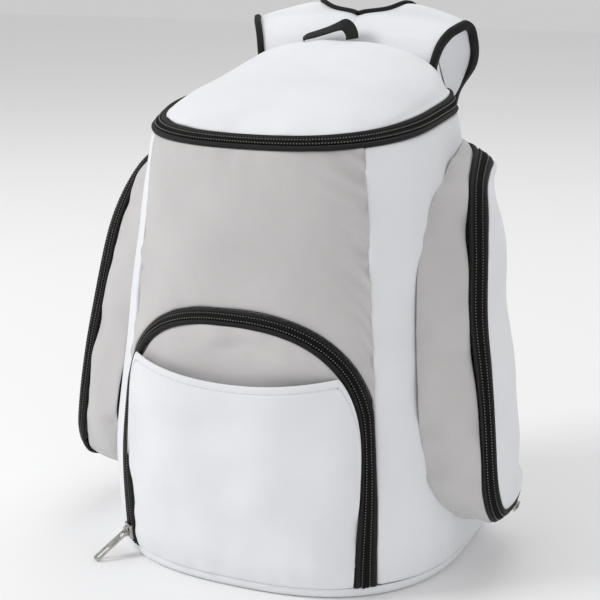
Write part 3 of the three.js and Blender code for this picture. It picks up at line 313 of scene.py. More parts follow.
def ring_point(side, signed_turn, z):
    """The body's outline by turn: 0 at the middle of the front, 1 at the middle of the back."""
    width, front, back, _ = body_section(z)
    turn = abs(signed_turn)
    angle = turn * math.pi
    roundness = FRONT_ROUNDNESS if turn < 0.5 else BACK_ROUNDNESS
    depth = -front if turn < 0.5 else back
    across = abs(math.sin(angle)) ** (2 / roundness)
    along = abs(math.cos(angle)) ** (2 / roundness)
    hand = -side if signed_turn < 0 else side
    return Vector((hand * width * across, depth * along, z))


def turn_at(x, z, behind):
    width = body_section(z)[0]
    roundness = BACK_ROUNDNESS if behind else FRONT_ROUNDNESS
    angle = math.asin(min(abs(x) / width, 1) ** (roundness / 2)) / math.pi
    return 1 - angle if behind else angle


def lid_zip_height(y):
    share = clamp((y + BAG_FRONT_DEPTH) / (BAG_FRONT_DEPTH + BAG_BACK_DEPTH))
    return LID_ZIP_HEIGHT + LID_ZIP_RISE * share


def lower_zip_edge(side, turn):
    point = ring_point(side, turn, LID_ZIP_HEIGHT)
    for _ in range(4):
        point = ring_point(side, turn, lid_zip_height(point.y))
    return point


def back_seam(z):
    share = clamp(z / LID_BACK_CORNER_HEIGHT)
    return lerp(BAG_HALF_WIDTH * 0.84, LID_BACK_HALF_WIDTH, share**1.3)


LID_ZIP_BACK = LID_ZIP_HEIGHT + LID_ZIP_RISE
LID_BACK_TURN = turn_at(back_seam(LID_ZIP_BACK), LID_ZIP_BACK, True)


def upper_zip_edge(side, turn):
    low = lower_zip_edge(side, turn)
    share = abs(turn) / LID_BACK_TURN
    outward = body_normal(low)
    outward.z = 0
    outward.normalize()
    lean = column(LID_BAND, 1, share) * LID_ZIP_WIDTH
    rise = column(LID_BAND, 2, share) * LID_ZIP_WIDTH
    return low - outward * lean + Vector((0, 0, rise))


def back_arch_height(x):
    share = min(abs(x) / LID_BACK_HALF_WIDTH, 1)
    rise = BAG_HEIGHT - LID_BACK_CORNER_HEIGHT
    return LID_BACK_CORNER_HEIGHT + rise * (1 - share**2.4) ** 0.6


def arch_half(z):
    return body_section(z)[3]


def leg_inset(z, width):
    outer = front_point(arch_half(z), z)
    inset = width
    for _ in range(12):
        inset *= width / (outer - front_point(arch_half(z) - inset, z)).length
    return inset


def pocket_swell(z):
    """How far the front pocket stands off the body at a height."""
    return POCKET_SWELL * smooth_step(z, 120, 225)


def leg_width(z):
    """How wide the front zip's band lies across the body beside the pocket."""
    return lerp(FRONT_ZIP_WIDTH, LEG_TOP_WIDTH, clamp((z - 12) / (ARCH_SPRING - 12)))


FACE_INSET = leg_inset(ARCH_SPRING, LEG_TOP_WIDTH)


def arch_height(x, width, inset=0.0):
    reach = arch_half(ARCH_SPRING) - inset
    share = min(abs(x) / reach, 1)
    return ARCH_SPRING + (ARCH_RISE - width) * (1 - share**ARCH_ROUNDNESS) ** (1 / ARCH_ROUNDNESS)


# Cloth and band makers


def cloth_grid(across, up, place, outward):
    """A grid of cloth whose corners are placed by two shares, facing outward."""
    mesh = bmesh.new()
    bmesh.ops.create_grid(mesh, x_segments=across, y_segments=up, size=0.5)
    corners = [[None] * (up + 1) for _ in range(across + 1)]
    for corner in mesh.verts:
        col = round((corner.co.x + 0.5) * across)
        row = round((corner.co.y + 0.5) * up)
        corners[col][row] = corner
    for col, line in enumerate(corners):
        for row, corner in enumerate(line):
            corner.co = place(col / across, row / up)
    mesh.normal_update()
    facing = 0
    for face in mesh.faces:
        facing += face.normal.dot(outward(face.calc_center_median())) * face.calc_area()
    if facing < 0:
        bmesh.ops.reverse_faces(mesh, faces=mesh.faces)
        mesh.normal_update()
    measure_threads(mesh, corners)
    return mesh, corners


def measure_threads(mesh, corners):
    """Lays a map in metres along the cloth's threads, for its weave."""
    columns = len(corners)
    rows = len(corners[0])
    run = {}
    for row in range(rows):
        length = 0
        for col in range(columns):
            if col:
                length += (corners[col][row].co - corners[col - 1][row].co).length
            run[corners[col][row]] = [length, 0]
        for col in range(columns):
            run[corners[col][row]][0] -= length / 2
    for line in corners:
        length = 0
        for row, corner in enumerate(line):
            if row:
                length += (corner.co - line[row - 1].co).length
            run[corner][1] = length
    threads = mesh.loops.layers.uv.new("cloth")
    for face in mesh.faces:
        for loop in face.loops:
            across, up = run[loop.vert]
            loop[threads].uv = (across * MM, up * MM)


def edge_distances(corners):
    """How far each corner lies from the four edges of its cloth: left, right, low and high."""
    columns = len(corners)
    rows = len(corners[0])
    found = {}
    for row in range(rows):
        runs = [0]
        for col in range(1, columns):
            runs.append(runs[-1] + (corners[col][row].co - corners[col - 1][row].co).length)
        for col in range(columns):
            found[corners[col][row]] = [runs[col], runs[-1] - runs[col], 0, 0]
    for line in corners:
        runs = [0]
        for row in range(1, rows):
            runs.append(runs[-1] + (line[row].co - line[row - 1].co).length)
        for row in range(rows):
            found[line[row]][2] = runs[row]
            found[line[row]][3] = runs[-1] - runs[row]
    return found


def raise_cloth(mesh, corners, relief):
    """Moves each corner along its normal by a height that depends on its place in the cloth."""
    mesh.normal_update()
    distances = edge_distances(corners)
    moves = {}
    for corner, (left, right, low, high) in distances.items():
        moves[corner] = corner.normal * relief(left, right, low, high, corner.co)
    for corner, move in moves.items():
        corner.co += move


def seam_roll(distance, depth=1.6, reach=3.5):
    """How far cloth dips into a seam."""
    return -depth * math.exp(-distance / reach)


def puckers(distance, along, seed, spacing=9.0, height=0.9, reach=14.0):
    """Short gathers that a seam's thread pulls into the cloth beside it."""
    wave = noise.noise(Vector((along / spacing, seed * 7.3, distance / (spacing * 3.2))))
    return wave * height * 2 * math.exp(-distance / reach) * smooth_step(distance, 0, 2.5)


def soft_folds(point, seed, scale, height):
    """Slow hollows and rises of a soft wall."""
    return height * noise.noise(point / scale + Vector((seed * 3.1, seed * 1.7, seed * 5.9)))


def make_piece(name, mesh, finish, wall=0.0, rounds=0, replaces=(), body="bag"):
    data = bpy.data.meshes.new(name)
    mesh.to_mesh(data)
    mesh.free()
    data.transform(Matrix.Scale(MM, 4))
    data.polygons.foreach_set("use_smooth", [True] * len(data.polygons))
    data.materials.append(finish)
    piece = bpy.data.objects.new(name, data)
    bpy.context.scene.collection.objects.link(piece)
    if wall:
        solid = piece.modifiers.new("wall", "SOLIDIFY")
        solid.thickness = wall * MM
        solid.offset = -1
    if rounds:
        soft = piece.modifiers.new("soft", "SUBSURF")
        soft.levels = rounds
        soft.render_levels = rounds
    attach(piece, body)
    if replaces:
        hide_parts(*replaces)
    return piece


def close_tube(mesh):
    """Joins the two long edges of a rolled grid and fills its ends."""
    bmesh.ops.remove_doubles(mesh, verts=mesh.verts, dist=0.001)
    ends = [edge for edge in mesh.edges if edge.is_boundary]
    bmesh.ops.holes_fill(mesh, edges=ends, sides=0)
    bmesh.ops.recalc_face_normals(mesh, faces=mesh.faces)


def rolled_tube(stations, turns, section):
    """A closed tube along stations of place, across and out; section(angle, share) gives its
    across and out."""
    last = len(stations) - 1

    def place(turn, share):
        middle, across, out = stations[round(share * last)]
        a, b = section(turn * 2 * math.pi, share)
        return middle + across * a + out * b

    mesh, _ = cloth_grid(turns, last, place, lambda point: Vector((0, 0, 1)))
    close_tube(mesh)
    return mesh


def super_round(angle, half_width, half_height, squareness):
    a = math.cos(angle)
    b = math.sin(angle)
    power = 2 / squareness
    return (
        half_width * math.copysign(abs(a) ** power, a),
        half_height * math.copysign(abs(b) ** power, b),
    )


def even_band(band, spacing):
    """A band's stations at even steps along its middle: left edge, right edge and out."""
    middles = [(left + right) / 2 for left, right, _ in band]
    runs = [0]
    for index in range(1, len(middles)):
        runs.append(runs[-1] + (middles[index] - middles[index - 1]).length)
    count = max(round(runs[-1] / spacing), 2)
    stations = []
    index = 0
    for step in range(count + 1):
        place = runs[-1] * step / count
        while index < len(runs) - 2 and runs[index + 1] < place:
            index += 1
        share = (place - runs[index]) / max(runs[index + 1] - runs[index], 1e-6)
        stations.append([a.lerp(b, share) for a, b in zip(band[index], band[index + 1])])
    return stations


def zip_tape(name, band, finish, replaces, lip=1.5, floor=0.1, wall=CLOTH):
    """The zip's woven tape: its two sewn edges stand up as soft lips beside the coil."""
    stations = even_band(band, TAPE_STEP)
    last = len(stations) - 1

    def place(across, share):
        left, right, out = stations[round(share * last)]
        edge = min(across, 1 - across)
        rise = lip * math.sin(math.pi * clamp(edge / 0.3)) ** 0.8 if edge < 0.3 else 0
        tuck = -1.3 * (1 - clamp(edge / 0.07)) ** 2
        return left.lerp(right, across) + out.normalized() * (floor + rise + tuck)

    outs = [station[2] for station in stations]
    middles = [(station[0] + station[1]) / 2 for station in stations]

    def outward(point):
        nearest = min(range(0, len(middles), 3), key=lambda i: (middles[i] - point).length_squared)
        return outs[nearest]

    mesh, _ = cloth_grid(20, last, place, outward)
    return make_piece(name, mesh, finish, wall=wall, rounds=1, replaces=replaces)


def zip_coil(name, band, finish, replaces, low=0.3):
    """The closed coil: two rows of ribs that meet in a groove."""
    stations = even_band(band, COIL_PITCH / 4)
    last = len(stations) - 1

    def place(across, share):
        step = round(share * last)
        left, right, out = stations[step]
        width = (right - left).length
        place_across = across * 2 - 1
        middle = left.lerp(right, 0.5)
        sideways = (right - left) / width
        hand = 1 if place_across > 0 else -1
        rib = 0.5 + 0.5 * math.cos(math.pi / 2 * step + (0 if hand > 0 else math.pi))
        dome = (1 - abs(place_across) ** 3.2) ** 0.5
        groove = 0.5 * math.exp(-((place_across / 0.2) ** 2))
        height = low + COIL_HEIGHT * dome * (0.3 + 0.34 * rib) - groove
        return middle + sideways * place_across * COIL_WIDTH * 0.42 + out.normalized() * height

    def outward(point):
        return stations[last // 2][2]

    mesh, _ = cloth_grid(10, last, place, outward)
    return make_piece(name, mesh, finish, wall=0.6, replaces=replaces)


def painted_coil_glints(name, band, width):
    """Rows of lighter beads on both sides of the coil: painted glints where its turns catch the
    light.
    """
    mesh = bmesh.new()
    for share in (0.5 - TEETH_FROM_MIDDLE / width, 0.5 + TEETH_FROM_MIDDLE / width):
        stitch_row(
            mesh, band, share, TEETH_PITCH, TEETH_LENGTH, TEETH_THICKNESS, TEETH_LIFT
        )
    make_piece(name, mesh, PAINTED_GLINT)


def stitch_row(mesh, band, share, pitch, length, thickness, lift):
    """A row of sewn stitches along a band, at a share of its width."""
    stations = even_band(band, pitch)
    for index in range(1, len(stations) - 1):
        left, right, out = stations[index]
        before = stations[index - 1]
        after = stations[index + 1]
        middle = left.lerp(right, share)
        along = after[0].lerp(after[1], share) - before[0].lerp(before[1], share)
        add_stitch(mesh, middle + out.normalized() * lift, along, out, length, thickness)


def add_stitch(mesh, middle, along, out, length, thickness):
    along = along.normalized()
    sideways = along.cross(out).normalized()
    up = sideways.cross(along)
    thick = thickness / 2
    axes = placed(middle, along * (length / 2), sideways * thick, up * thick)
    bmesh.ops.create_icosphere(mesh, subdivisions=1, radius=1, matrix=axes)


def placed(middle, first, second, third):
    """The matrix that puts a shape at a middle, with its three axes given."""
    return Matrix((
        (first.x, second.x, third.x, middle.x),
        (first.y, second.y, third.y, middle.y),
        (first.z, second.z, third.z, middle.z),
        (0, 0, 0, 1),
    ))


# Finishes


def bare_finish(name, roughness):
    finish = bpy.data.materials.new(name)
    finish.use_nodes = True
    shader = finish.node_tree.nodes["Principled BSDF"]
    shader.inputs["Roughness"].default_value = roughness
    return finish, finish.node_tree.nodes, finish.node_tree.links.new, shader


def thread_wave(nodes, link, coordinates, direction, period):
    wave = nodes.new("ShaderNodeTexWave")
    wave.wave_type = "BANDS"
    wave.bands_direction = direction
    wave.inputs["Scale"].default_value = 0.314 / (period * MM)
    wave.inputs["Distortion"].default_value = 0.6
    wave.inputs["Detail"].default_value = 1.0
    wave.inputs["Detail Scale"].default_value = 0.6
    link(coordinates, wave.inputs["Vector"])
    return wave.outputs["Fac"]


def multiply(nodes, link, first, second):
    node = nodes.new("ShaderNodeMath")
    node.operation = "MULTIPLY"
    link(first, node.inputs[0])
    link(second, node.inputs[1])
    return node.outputs[0]


def scale_and_add(nodes, link, first, share, second):
    node = nodes.new("ShaderNodeMath")
    node.operation = "MULTIPLY_ADD"
    link(first, node.inputs[0])
    node.inputs[1].default_value = share
    link(second, node.inputs[2])
    return node.outputs[0]


def cloud(nodes, link, coordinates, scale, detail=3.0):
    node = nodes.new("ShaderNodeTexNoise")
    node.inputs["Scale"].default_value = scale
    node.inputs["Detail"].default_value = detail
    link(coordinates, node.inputs["Vector"])
    return node.outputs["Fac"]


def colour_between(nodes, link, factor, low, high, start=0.3, end=0.7):
    ramp = nodes.new("ShaderNodeValToRGB")
    ramp.color_ramp.elements[0].position = start
    ramp.color_ramp.elements[0].color = (*low, 1)
    ramp.color_ramp.elements[1].position = end
    ramp.color_ramp.elements[1].color = (*high, 1)
    link(factor, ramp.inputs["Fac"])
    return ramp.outputs["Color"]


def roughness_between(nodes, link, factor, low, high, shader):
    spread = nodes.new("ShaderNodeMapRange")
    spread.inputs["To Min"].default_value = low
    spread.inputs["To Max"].default_value = high
    link(factor, spread.inputs["Value"])
    link(spread.outputs["Result"], shader.inputs["Roughness"])


def add_bump(nodes, link, height, distance, shader, strength=1.0, under=None):
    bump = nodes.new("ShaderNodeBump")
    bump.inputs["Strength"].default_value = strength
    bump.inputs["Distance"].default_value = distance * MM
    link(height, bump.inputs["Height"])
    if under:
        link(under, bump.inputs["Normal"])
    link(bump.outputs["Normal"], shader.inputs["Normal"])
    return bump.outputs["Normal"]


def woven_cloth(name, light, shade, thread, depth, roughness, sheen, crumple=0.0):
    """Plain weave with slow changes of shade, and fine creases where crumple is given."""
    finish, nodes, link, shader = bare_finish(name, roughness)
    threads = nodes.new("ShaderNodeUVMap")
    threads.uv_map = "cloth"
    space = nodes.new("ShaderNodeTexCoord").outputs["Object"]
    warp = thread_wave(nodes, link, threads.outputs["UV"], "X", thread)
    weft = thread_wave(nodes, link, threads.outputs["UV"], "Y", thread)
    weave = multiply(nodes, link, warp, weft)
    slow = cloud(nodes, link, space, 18)
    mixed = scale_and_add(nodes, link, weave, 0.18, slow)
    link(colour_between(nodes, link, mixed, shade, light), shader.inputs["Base Color"])
    roughness_between(nodes, link, slow, roughness - 0.06, roughness + 0.06, shader)
    under = None
    if crumple:
        creases = cloud(nodes, link, space, 55, 4.0)
        under = add_bump(nodes, link, creases, crumple, shader, 0.5)
    add_bump(nodes, link, weave, depth, shader, 0.6, under)
    shader.inputs["Sheen Weight"].default_value = sheen
    shader.inputs["Specular IOR Level"].default_value = 0.3
    shader.inputs["Sheen Roughness"].default_value = 0.45
    return finish


def ribbed_webbing(name, colour, glint, rib, slant):
    """Webbing and tape: close ribs across, crossed by slanting threads."""
    finish, nodes, link, shader = bare_finish(name, 0.62)
    threads = nodes.new("ShaderNodeUVMap")
    threads.uv_map = "cloth"
    ribs = thread_wave(nodes, link, threads.outputs["UV"], "Y", rib)
    slanted = thread_wave(nodes, link, threads.outputs["UV"], "DIAGONAL", slant)
    weave = multiply(nodes, link, ribs, slanted)
    link(colour_between(nodes, link, weave, colour, glint, 0.0, 1.0), shader.inputs["Base Color"])
    roughness_between(nodes, link, weave, 0.72, 0.52, shader)
    add_bump(nodes, link, weave, 0.3, shader, 0.8)
    shader.inputs["Sheen Weight"].default_value = 0.02
    shader.inputs["Specular IOR Level"].default_value = 0.3
    shader.inputs["Sheen Roughness"].default_value = 0.4
    return finish


def moulded_plastic(name, colour, roughness, grain, gloss=0.5):
    finish, nodes, link, shader = bare_finish(name, roughness)
    space = nodes.new("ShaderNodeTexCoord").outputs["Object"]
    fine = cloud(nodes, link, space, grain, 2.0)
    lighter = [part * 1.6 for part in colour]
    link(colour_between(nodes, link, fine, colour, lighter), shader.inputs["Base Color"])
    roughness_between(nodes, link, fine, roughness - 0.08, roughness + 0.08, shader)
    add_bump(nodes, link, fine, 0.05, shader, 0.4)
    shader.inputs["Specular IOR Level"].default_value = gloss
    return finish


def plated_metal(name):
    """Nickel plate with fine rubbing marks and slightly duller patches."""
    finish, nodes, link, shader = bare_finish(name, 0.26)
    space = nodes.new("ShaderNodeTexCoord").outputs["Object"]
    patches = cloud(nodes, link, space, 160, 3.0)
    marks = cloud(nodes, link, space, 1400, 2.0)
    dull = (0.40, 0.385, 0.355)
    bright = (0.52, 0.50, 0.465)
    link(colour_between(nodes, link, patches, dull, bright), shader.inputs["Base Color"])
    roughness_between(nodes, link, patches, 0.2, 0.36, shader)
    add_bump(nodes, link, marks, 0.02, shader, 0.35)
    shader.inputs["Metallic"].default_value = 1.0
    return finish


WHITE_CLOTH = woven_cloth(
    "white_polyester", (0.83, 0.84, 0.865), (0.79, 0.80, 0.83), 0.55, 0.12, 0.82, 0.25
)
GREY_NYLON = woven_cloth(
    "grey_nylon", (0.575, 0.562, 0.558), (0.535, 0.523, 0.52), 0.4, 0.06, 0.55, 0.25, 1.6
)
TAPE_CLOTH = woven_cloth(
    "black_tape", (0.0075, 0.0072, 0.0072), (0.004, 0.0039, 0.0039), 0.7, 0.15, 0.7, 0.01
)
BINDING = ribbed_webbing(
    "black_binding", (0.0035, 0.0035, 0.0037), (0.009, 0.009, 0.0095), 0.9, 1.3
)
WEBBING = ribbed_webbing(
    "black_webbing", (0.003, 0.003, 0.0033), (0.011, 0.011, 0.0115), 1.7, 2.2
)
COIL = moulded_plastic("zip_coil", (0.003, 0.003, 0.003), 0.5, 900, 0.12)
# Painted glint: the beads along the coils are coloured lighter to stand for the light the coil's
# turns catch; the coil itself is black.
PAINTED_GLINT = moulded_plastic("painted_coil_glints", (0.13, 0.122, 0.11), 0.3, 900)
PLASTIC = moulded_plastic("black_plastic", (0.014, 0.014, 0.0145), 0.45, 1200)
NICKEL = plated_metal("nickel")
BLACK_THREAD = moulded_plastic("black_thread", (0.03, 0.029, 0.027), 0.42, 2000)
WHITE_THREAD = moulded_plastic("white_thread", (0.50, 0.51, 0.53), 0.6, 2000)


# Body walls


def white_piece(name, mesh, nodes, wall=0.0, rounds=0):
    return make_piece(name, mesh, WHITE_CLOTH, wall, rounds, nodes)


def away_from_middle(point):
    return Vector((point.x, point.y, 0))


def forwards(point):
    return Vector((0, -1, 0))


def backwards(point):
    return Vector((0, 1, 0))


def upwards(point):
    return Vector((0, 0, 1))


def front_cloth():
    def place(across, up):
        u = math.sin((across - 0.5) * math.pi)
        low = ARCH_SPRING + ARCH_RISE
        for _ in range(30):
            low = lerp(low, arch_height(u * (arch_half(low) - SEAM_GAP / 2), 0), 0.7)
        high = LID_ZIP_HEIGHT
        for _ in range(4):
            high = lid_zip_height(front_point(u * arch_half(high), high).y)
        z = lerp(low, high, up)
        return front_point(u * (arch_half(z) + SEAM_GAP), z)

    def relief(left, right, low, high, point):
        height = seam_roll(min(left, right), 0.7, 3) + seam_roll(low, 0.6) + seam_roll(high, 0.8)
        height += puckers(right, point.z - right * 0.45, 1, 8.5, 4.0, 15)
        height += puckers(left, point.z + left * 0.3, 2, 11, 1.8, 12)
        height += puckers(high, point.x, 3, 15, 0.9, 16)
        height += puckers(low, point.x + point.z * 0.5, 5, 16, 0.9, 18)
        return height + soft_folds(point, 1, 55, 3.6)

    mesh, corners = cloth_grid(84, 60, place, forwards)
    raise_cloth(mesh, corners, relief)
    wall = make_piece("front_cloth", mesh, GREY_NYLON, FRONT_WALL, 1, ["front_panel"])


def side_wall(name, side):
    def place(across, up):
        def turn_here(z):
            start = turn_at(arch_half(z) - SEAM_GAP, z, False)
            end = turn_at(back_seam(z) + SEAM_GAP / 2, z, True)
            return lerp(start, end, across)

        high = LID_ZIP_HEIGHT
        for _ in range(5):
            high = lid_zip_height(ring_point(side, turn_here(high), high).y)
        z = lerp(BASE_SEAM_HEIGHT, high, up)
        return ring_point(side, turn_here(z), z)

    def relief(left, right, low, high, point):
        height = seam_roll(left, 0.7, 3) + seam_roll(right, 1.0, 4) + seam_roll(low, 0.5, 3)
        height += seam_roll(high, 1.2)
        height += puckers(left, point.z, 4 + side, 16, 0.7, 10)
        height += puckers(low, point.y, 6 + side, 18, 1.4, 26)
        return height + soft_folds(point, 3 + side, 70, 3.2)

    mesh, corners = cloth_grid(72, 80, place, away_from_middle)
    raise_cloth(mesh, corners, relief)
    panels = [f"side_panel_{name}"]
    wall = white_piece(f"side_wall_{name}", mesh, panels, PADDED_WALL, 1)


def back_wall():
    def place(across, up):
        u = math.sin((across - 0.5) * math.pi * 0.94) / math.sin(math.pi * 0.47)
        top = back_arch_height(u * (LID_BACK_HALF_WIDTH - SEAM_GAP / 2)) - SEAM_GAP / 2
        z = lerp(BASE_SEAM_HEIGHT, top, up)
        return back_point(u * (back_seam(z) - SEAM_GAP / 2), z)

    def relief(left, right, low, high, point):
        beside = min(left, right)
        height = seam_roll(beside, 1.8, 4) + seam_roll(low, 1.6, 4) + seam_roll(high, 1.6, 4)
        height += puckers(beside, point.z, 8, 12, 0.5, 14)
        height += puckers(low, point.x, 9, 16, 0.8, 20)
        return height + soft_folds(point, 5, 80, 3.2)

    mesh, corners = cloth_grid(72, 84, place, backwards)
    raise_cloth(mesh, corners, relief)
    wall = white_piece("back_wall", mesh, ["back_panel"], PADDED_WALL, 1)


def base_floor():
    rims = [
        (0, 1.0, 9.4), (1, 1.001, 6.5), (2, 0.996, 3.4), (3, 0.984, 1.2), (4, 0.965, 0.2),
        (5, 0.92, 0.0), (6, 0.7, 0.8), (7, 0.35, 1.6), (8, 0.02, 1.8),
    ]
    last = len(rims) - 1

    def place(around, inwards):
        turn = around * 2
        side = -1 if turn > 1 else 1
        rim = ring_point(side, 2 - turn if turn > 1 else turn, BASE_SEAM_HEIGHT)
        scale = column(rims, 1, inwards * last)
        return Vector((rim.x * scale, rim.y * scale, max(column(rims, 2, inwards * last), 0.05)))

    mesh, _ = cloth_grid(160, 40, place, lambda point: Vector((0, 0, -1)))
    bmesh.ops.remove_doubles(mesh, verts=mesh.verts, dist=0.001)
    middle = [edge for edge in mesh.edges if edge.is_boundary and edge.verts[0].co.z < 4]
    bmesh.ops.holes_fill(mesh, edges=middle, sides=0)
    floor = white_piece("base_floor", mesh, ["base_panel"], FLOOR_WALL)


# Lid


def turn_at_depth(y, z):
    share = (y / body_section(z)[2]) ** (BACK_ROUNDNESS / 2)
    return 1 - math.acos(share) / math.pi


LID_BACK_PLANE = back_point(LID_BACK_HALF_WIDTH, LID_BACK_CORNER_HEIGHT).y - PADDED_WALL - SEAM_GAP
LID_END_TURN = turn_at_depth(LID_BACK_PLANE, LID_BACK_CORNER_HEIGHT)
LID_END = upper_zip_edge(-1, LID_END_TURN)


def lid_side_edge(side, share):
    return upper_zip_edge(side, lerp(LID_CORNER_PLACE, LID_END_TURN, share))


def lid_front_edge(share):
    return upper_zip_edge(1, (share - 0.5) * 2 * LID_CORNER_PLACE)


def lid_back_edge(share):
    x = lerp(LID_END.x, -LID_END.x, share)
    height = back_arch_height(x)
    corner = abs(x / LID_END.x) ** 12
    depth = lerp(back_point(x, height).y - SEAM_GAP, LID_END.y, corner)
    return Vector((x, depth, height + (LID_END.z - back_arch_height(LID_END.x)) * corner))


def lid_top():
    steps = LID_STEPS
    fronts = [lid_front_edge(col / steps) for col in range(steps + 1)]
    backs = [lid_back_edge(col / steps) for col in range(steps + 1)]
    lefts = [lid_side_edge(-1, row / steps) for row in range(steps + 1)]
    rights = [lid_side_edge(1, row / steps) for row in range(steps + 1)]

    def place(across, along):
        col = round(across * steps)
        row = round(along * steps)
        ruled_along = fronts[col].lerp(backs[col], along)
        ruled_across = lefts[row].lerp(rights[row], across)
        front_line = fronts[0].lerp(fronts[-1], across)
        back_line = backs[0].lerp(backs[-1], across)
        crown = 16 * across * (1 - across) * along * (1 - along)
        rise = Vector((0, 0, LID_CROWN * crown))
        return ruled_along + ruled_across - front_line.lerp(back_line, along) + rise

    def relief(left, right, low, high, point):
        beside = min(left, right)
        height = seam_roll(beside, 1.0, 3) + seam_roll(low, 1.0, 3) + seam_roll(high, 1.4, 4)
        height += puckers(low, point.x, 11, 14, 0.8, 18)
        height += puckers(high, point.x, 12, 13, 0.6, 16)
        return height + soft_folds(point, 7, 66, 2.8)

    mesh, corners = cloth_grid(steps, steps, place, upwards)
    raise_cloth(mesh, corners, relief)
    lid = white_piece("lid_top", mesh, ["lid_panel"], PADDED_WALL, 1)


def lid_band():
    """Stations of the lid zip from the left back corner, round the front, to the right one."""
    end = LID_BACK_TURN * 0.992
    band = []
    for step in range(LID_BAND_STEPS + 1):
        turn = lerp(-end, end, step / LID_BAND_STEPS)
        low = lower_zip_edge(1, turn)
        high = upper_zip_edge(1, turn)
        ahead = lower_zip_edge(1, turn + 0.004) - lower_zip_edge(1, turn - 0.004)
        out = ahead.cross(high - low).normalized()
        band.append([low, high, -out if out.z < 0 else out])
    return band


def lid_zip():
    band = lid_band()
    zip_tape("lid_tape", band, TAPE_CLOTH, ["lid_zip_tape"])
    zip_coil("lid_coil", band, COIL, ["lid_zip_coil"])
    mesh = bmesh.new()
    for share in (0.2, 0.8):
        stitch_row(mesh, band, share, STITCH_PITCH, STITCH_LENGTH, STITCH_THICKNESS, 1.15)
    make_piece("lid_zip_stitches", mesh, BLACK_THREAD)
    painted_coil_glints("lid_coil_glints", band, LID_ZIP_WIDTH)


# Front pocket


def arch_band():
    """Stations of the front zip's band from its left foot, over the arch, to its right foot."""
    foot = BASE_SEAM_HEIGHT + SEAM_GAP
    half = []
    for step in range(LEG_STEPS):
        z = lerp(foot, ARCH_SPRING, step / LEG_STEPS)
        half.append((arch_half(z), z, arch_half(z) - leg_inset(z, leg_width(z)), z))
    for step in range(ARCH_STEPS + 1):
        angle = step / ARCH_STEPS * math.pi / 2
        across = math.cos(angle) ** (2 / ARCH_ROUNDNESS) if step < ARCH_STEPS else 0
        up = math.sin(angle) ** (2 / ARCH_ROUNDNESS)
        outer_z = ARCH_SPRING + ARCH_RISE * up
        outer_x = min(arch_half(ARCH_SPRING) * across, arch_half(outer_z))
        inner_z = ARCH_SPRING + (ARCH_RISE - ARCH_TOP_WIDTH) * up
        half.append((outer_x, outer_z, (arch_half(ARCH_SPRING) - FACE_INSET) * across, inner_z))
    left = [(-ox, oz, -ix, iz) for ox, oz, ix, iz in half]
    edges = []
    for outer_x, outer_z, inner_x, inner_z in left + half[-2::-1]:
        inner = proud_of(front_point(inner_x, inner_z), pocket_swell(inner_z))
        edges.append((front_point(outer_x, outer_z), inner))
    band = []
    last = len(edges) - 1
    for index, (outer, inner) in enumerate(edges):
        before = edges[max(index - 2, 0)]
        after = edges[min(index + 2, last)]
        along = (after[0] + after[1]) - (before[0] + before[1])
        out = along.cross(inner - outer).normalized()
        band.append([outer, inner, -out if out.y > 0 else out])
    return band


def arch_zip():
    band = arch_band()
    zip_tape("arch_tape", band, TAPE_CLOTH, ["front_zip_tape"])
    zip_coil("arch_coil", band, COIL, ["front_zip_coil"])
    mesh = bmesh.new()
    for share in (0.17, 0.83):
        stitch_row(mesh, band, share, STITCH_PITCH, STITCH_LENGTH, STITCH_THICKNESS, 1.3)
    make_piece("arch_zip_stitches", mesh, BLACK_THREAD)
    painted_coil_glints("arch_coil_glints", band, (band[120][1] - band[120][0]).length)


def face_half(z):
    if z > ARCH_SPRING:
        return arch_half(ARCH_SPRING) - FACE_INSET
    return arch_half(z) - leg_inset(z, leg_width(z))


FACE_HALVES = [face_half(z) for z in range(int(ARCH_SPRING) + 2)]


def face_reach(z):
    place = clamp(z, 0, len(FACE_HALVES) - 1.01)
    low = int(place)
    return lerp(FACE_HALVES[low], FACE_HALVES[low + 1], place - low)


def pocket_face():
    foot = BASE_SEAM_HEIGHT + SEAM_GAP

    def place(across, up):
        u = math.sin((across - 0.5) * math.pi)
        top = arch_height(u * FACE_HALVES[-1], ARCH_TOP_WIDTH, FACE_INSET)
        z = lerp(foot, top, up)
        return proud_of(front_point(u * face_reach(z), z), pocket_swell(z))

    def relief(left, right, low, high, point):
        height = seam_roll(min(left, right), 1.0, 3) + seam_roll(high, 1.2, 3) - 0.3
        height += puckers(high, point.x, 21, 14, 1.0, 16)
        crease = math.exp(-(((point.z - 200 - 14 * math.sin((point.x + 30) / 38)) / 6) ** 2))
        height -= 1.6 * crease * smooth_step(point.x, -30, 0) * (1 - smooth_step(point.x, 50, 80))
        above = smooth_step(point.z, 172, 195)
        return lerp(-1.2, height + soft_folds(point, 8, 38, 3.4), above)

    mesh, corners = cloth_grid(72, 60, place, forwards)
    raise_cloth(mesh, corners, relief)
    nodes = ["front_pocket_face"]
    face = make_piece("pocket_face", mesh, GREY_NYLON, NYLON, 1, nodes)


def hem_height(x):
    share = abs(x) / FACE_HALVES[-1]
    dipped = SLIP_HEM_SIDE - SLIP_HEM_DIP * (1 - share**2)
    return min(dipped, arch_height(x, ARCH_TOP_WIDTH, FACE_INSET) - SEAM_GAP)


def slip_point(u, z, top):
    foot = BASE_SEAM_HEIGHT + SEAM_GAP
    point = front_point(u * face_reach(z), z)
    across = abs(point.x) / FACE_HALVES[-1]
    up = clamp((z - foot) / (top - foot))
    open_by = SLIP_MOUTH * max(1 - across**2.5, 0) * up**2
    return point, SEAM_GAP + pocket_swell(z) + open_by


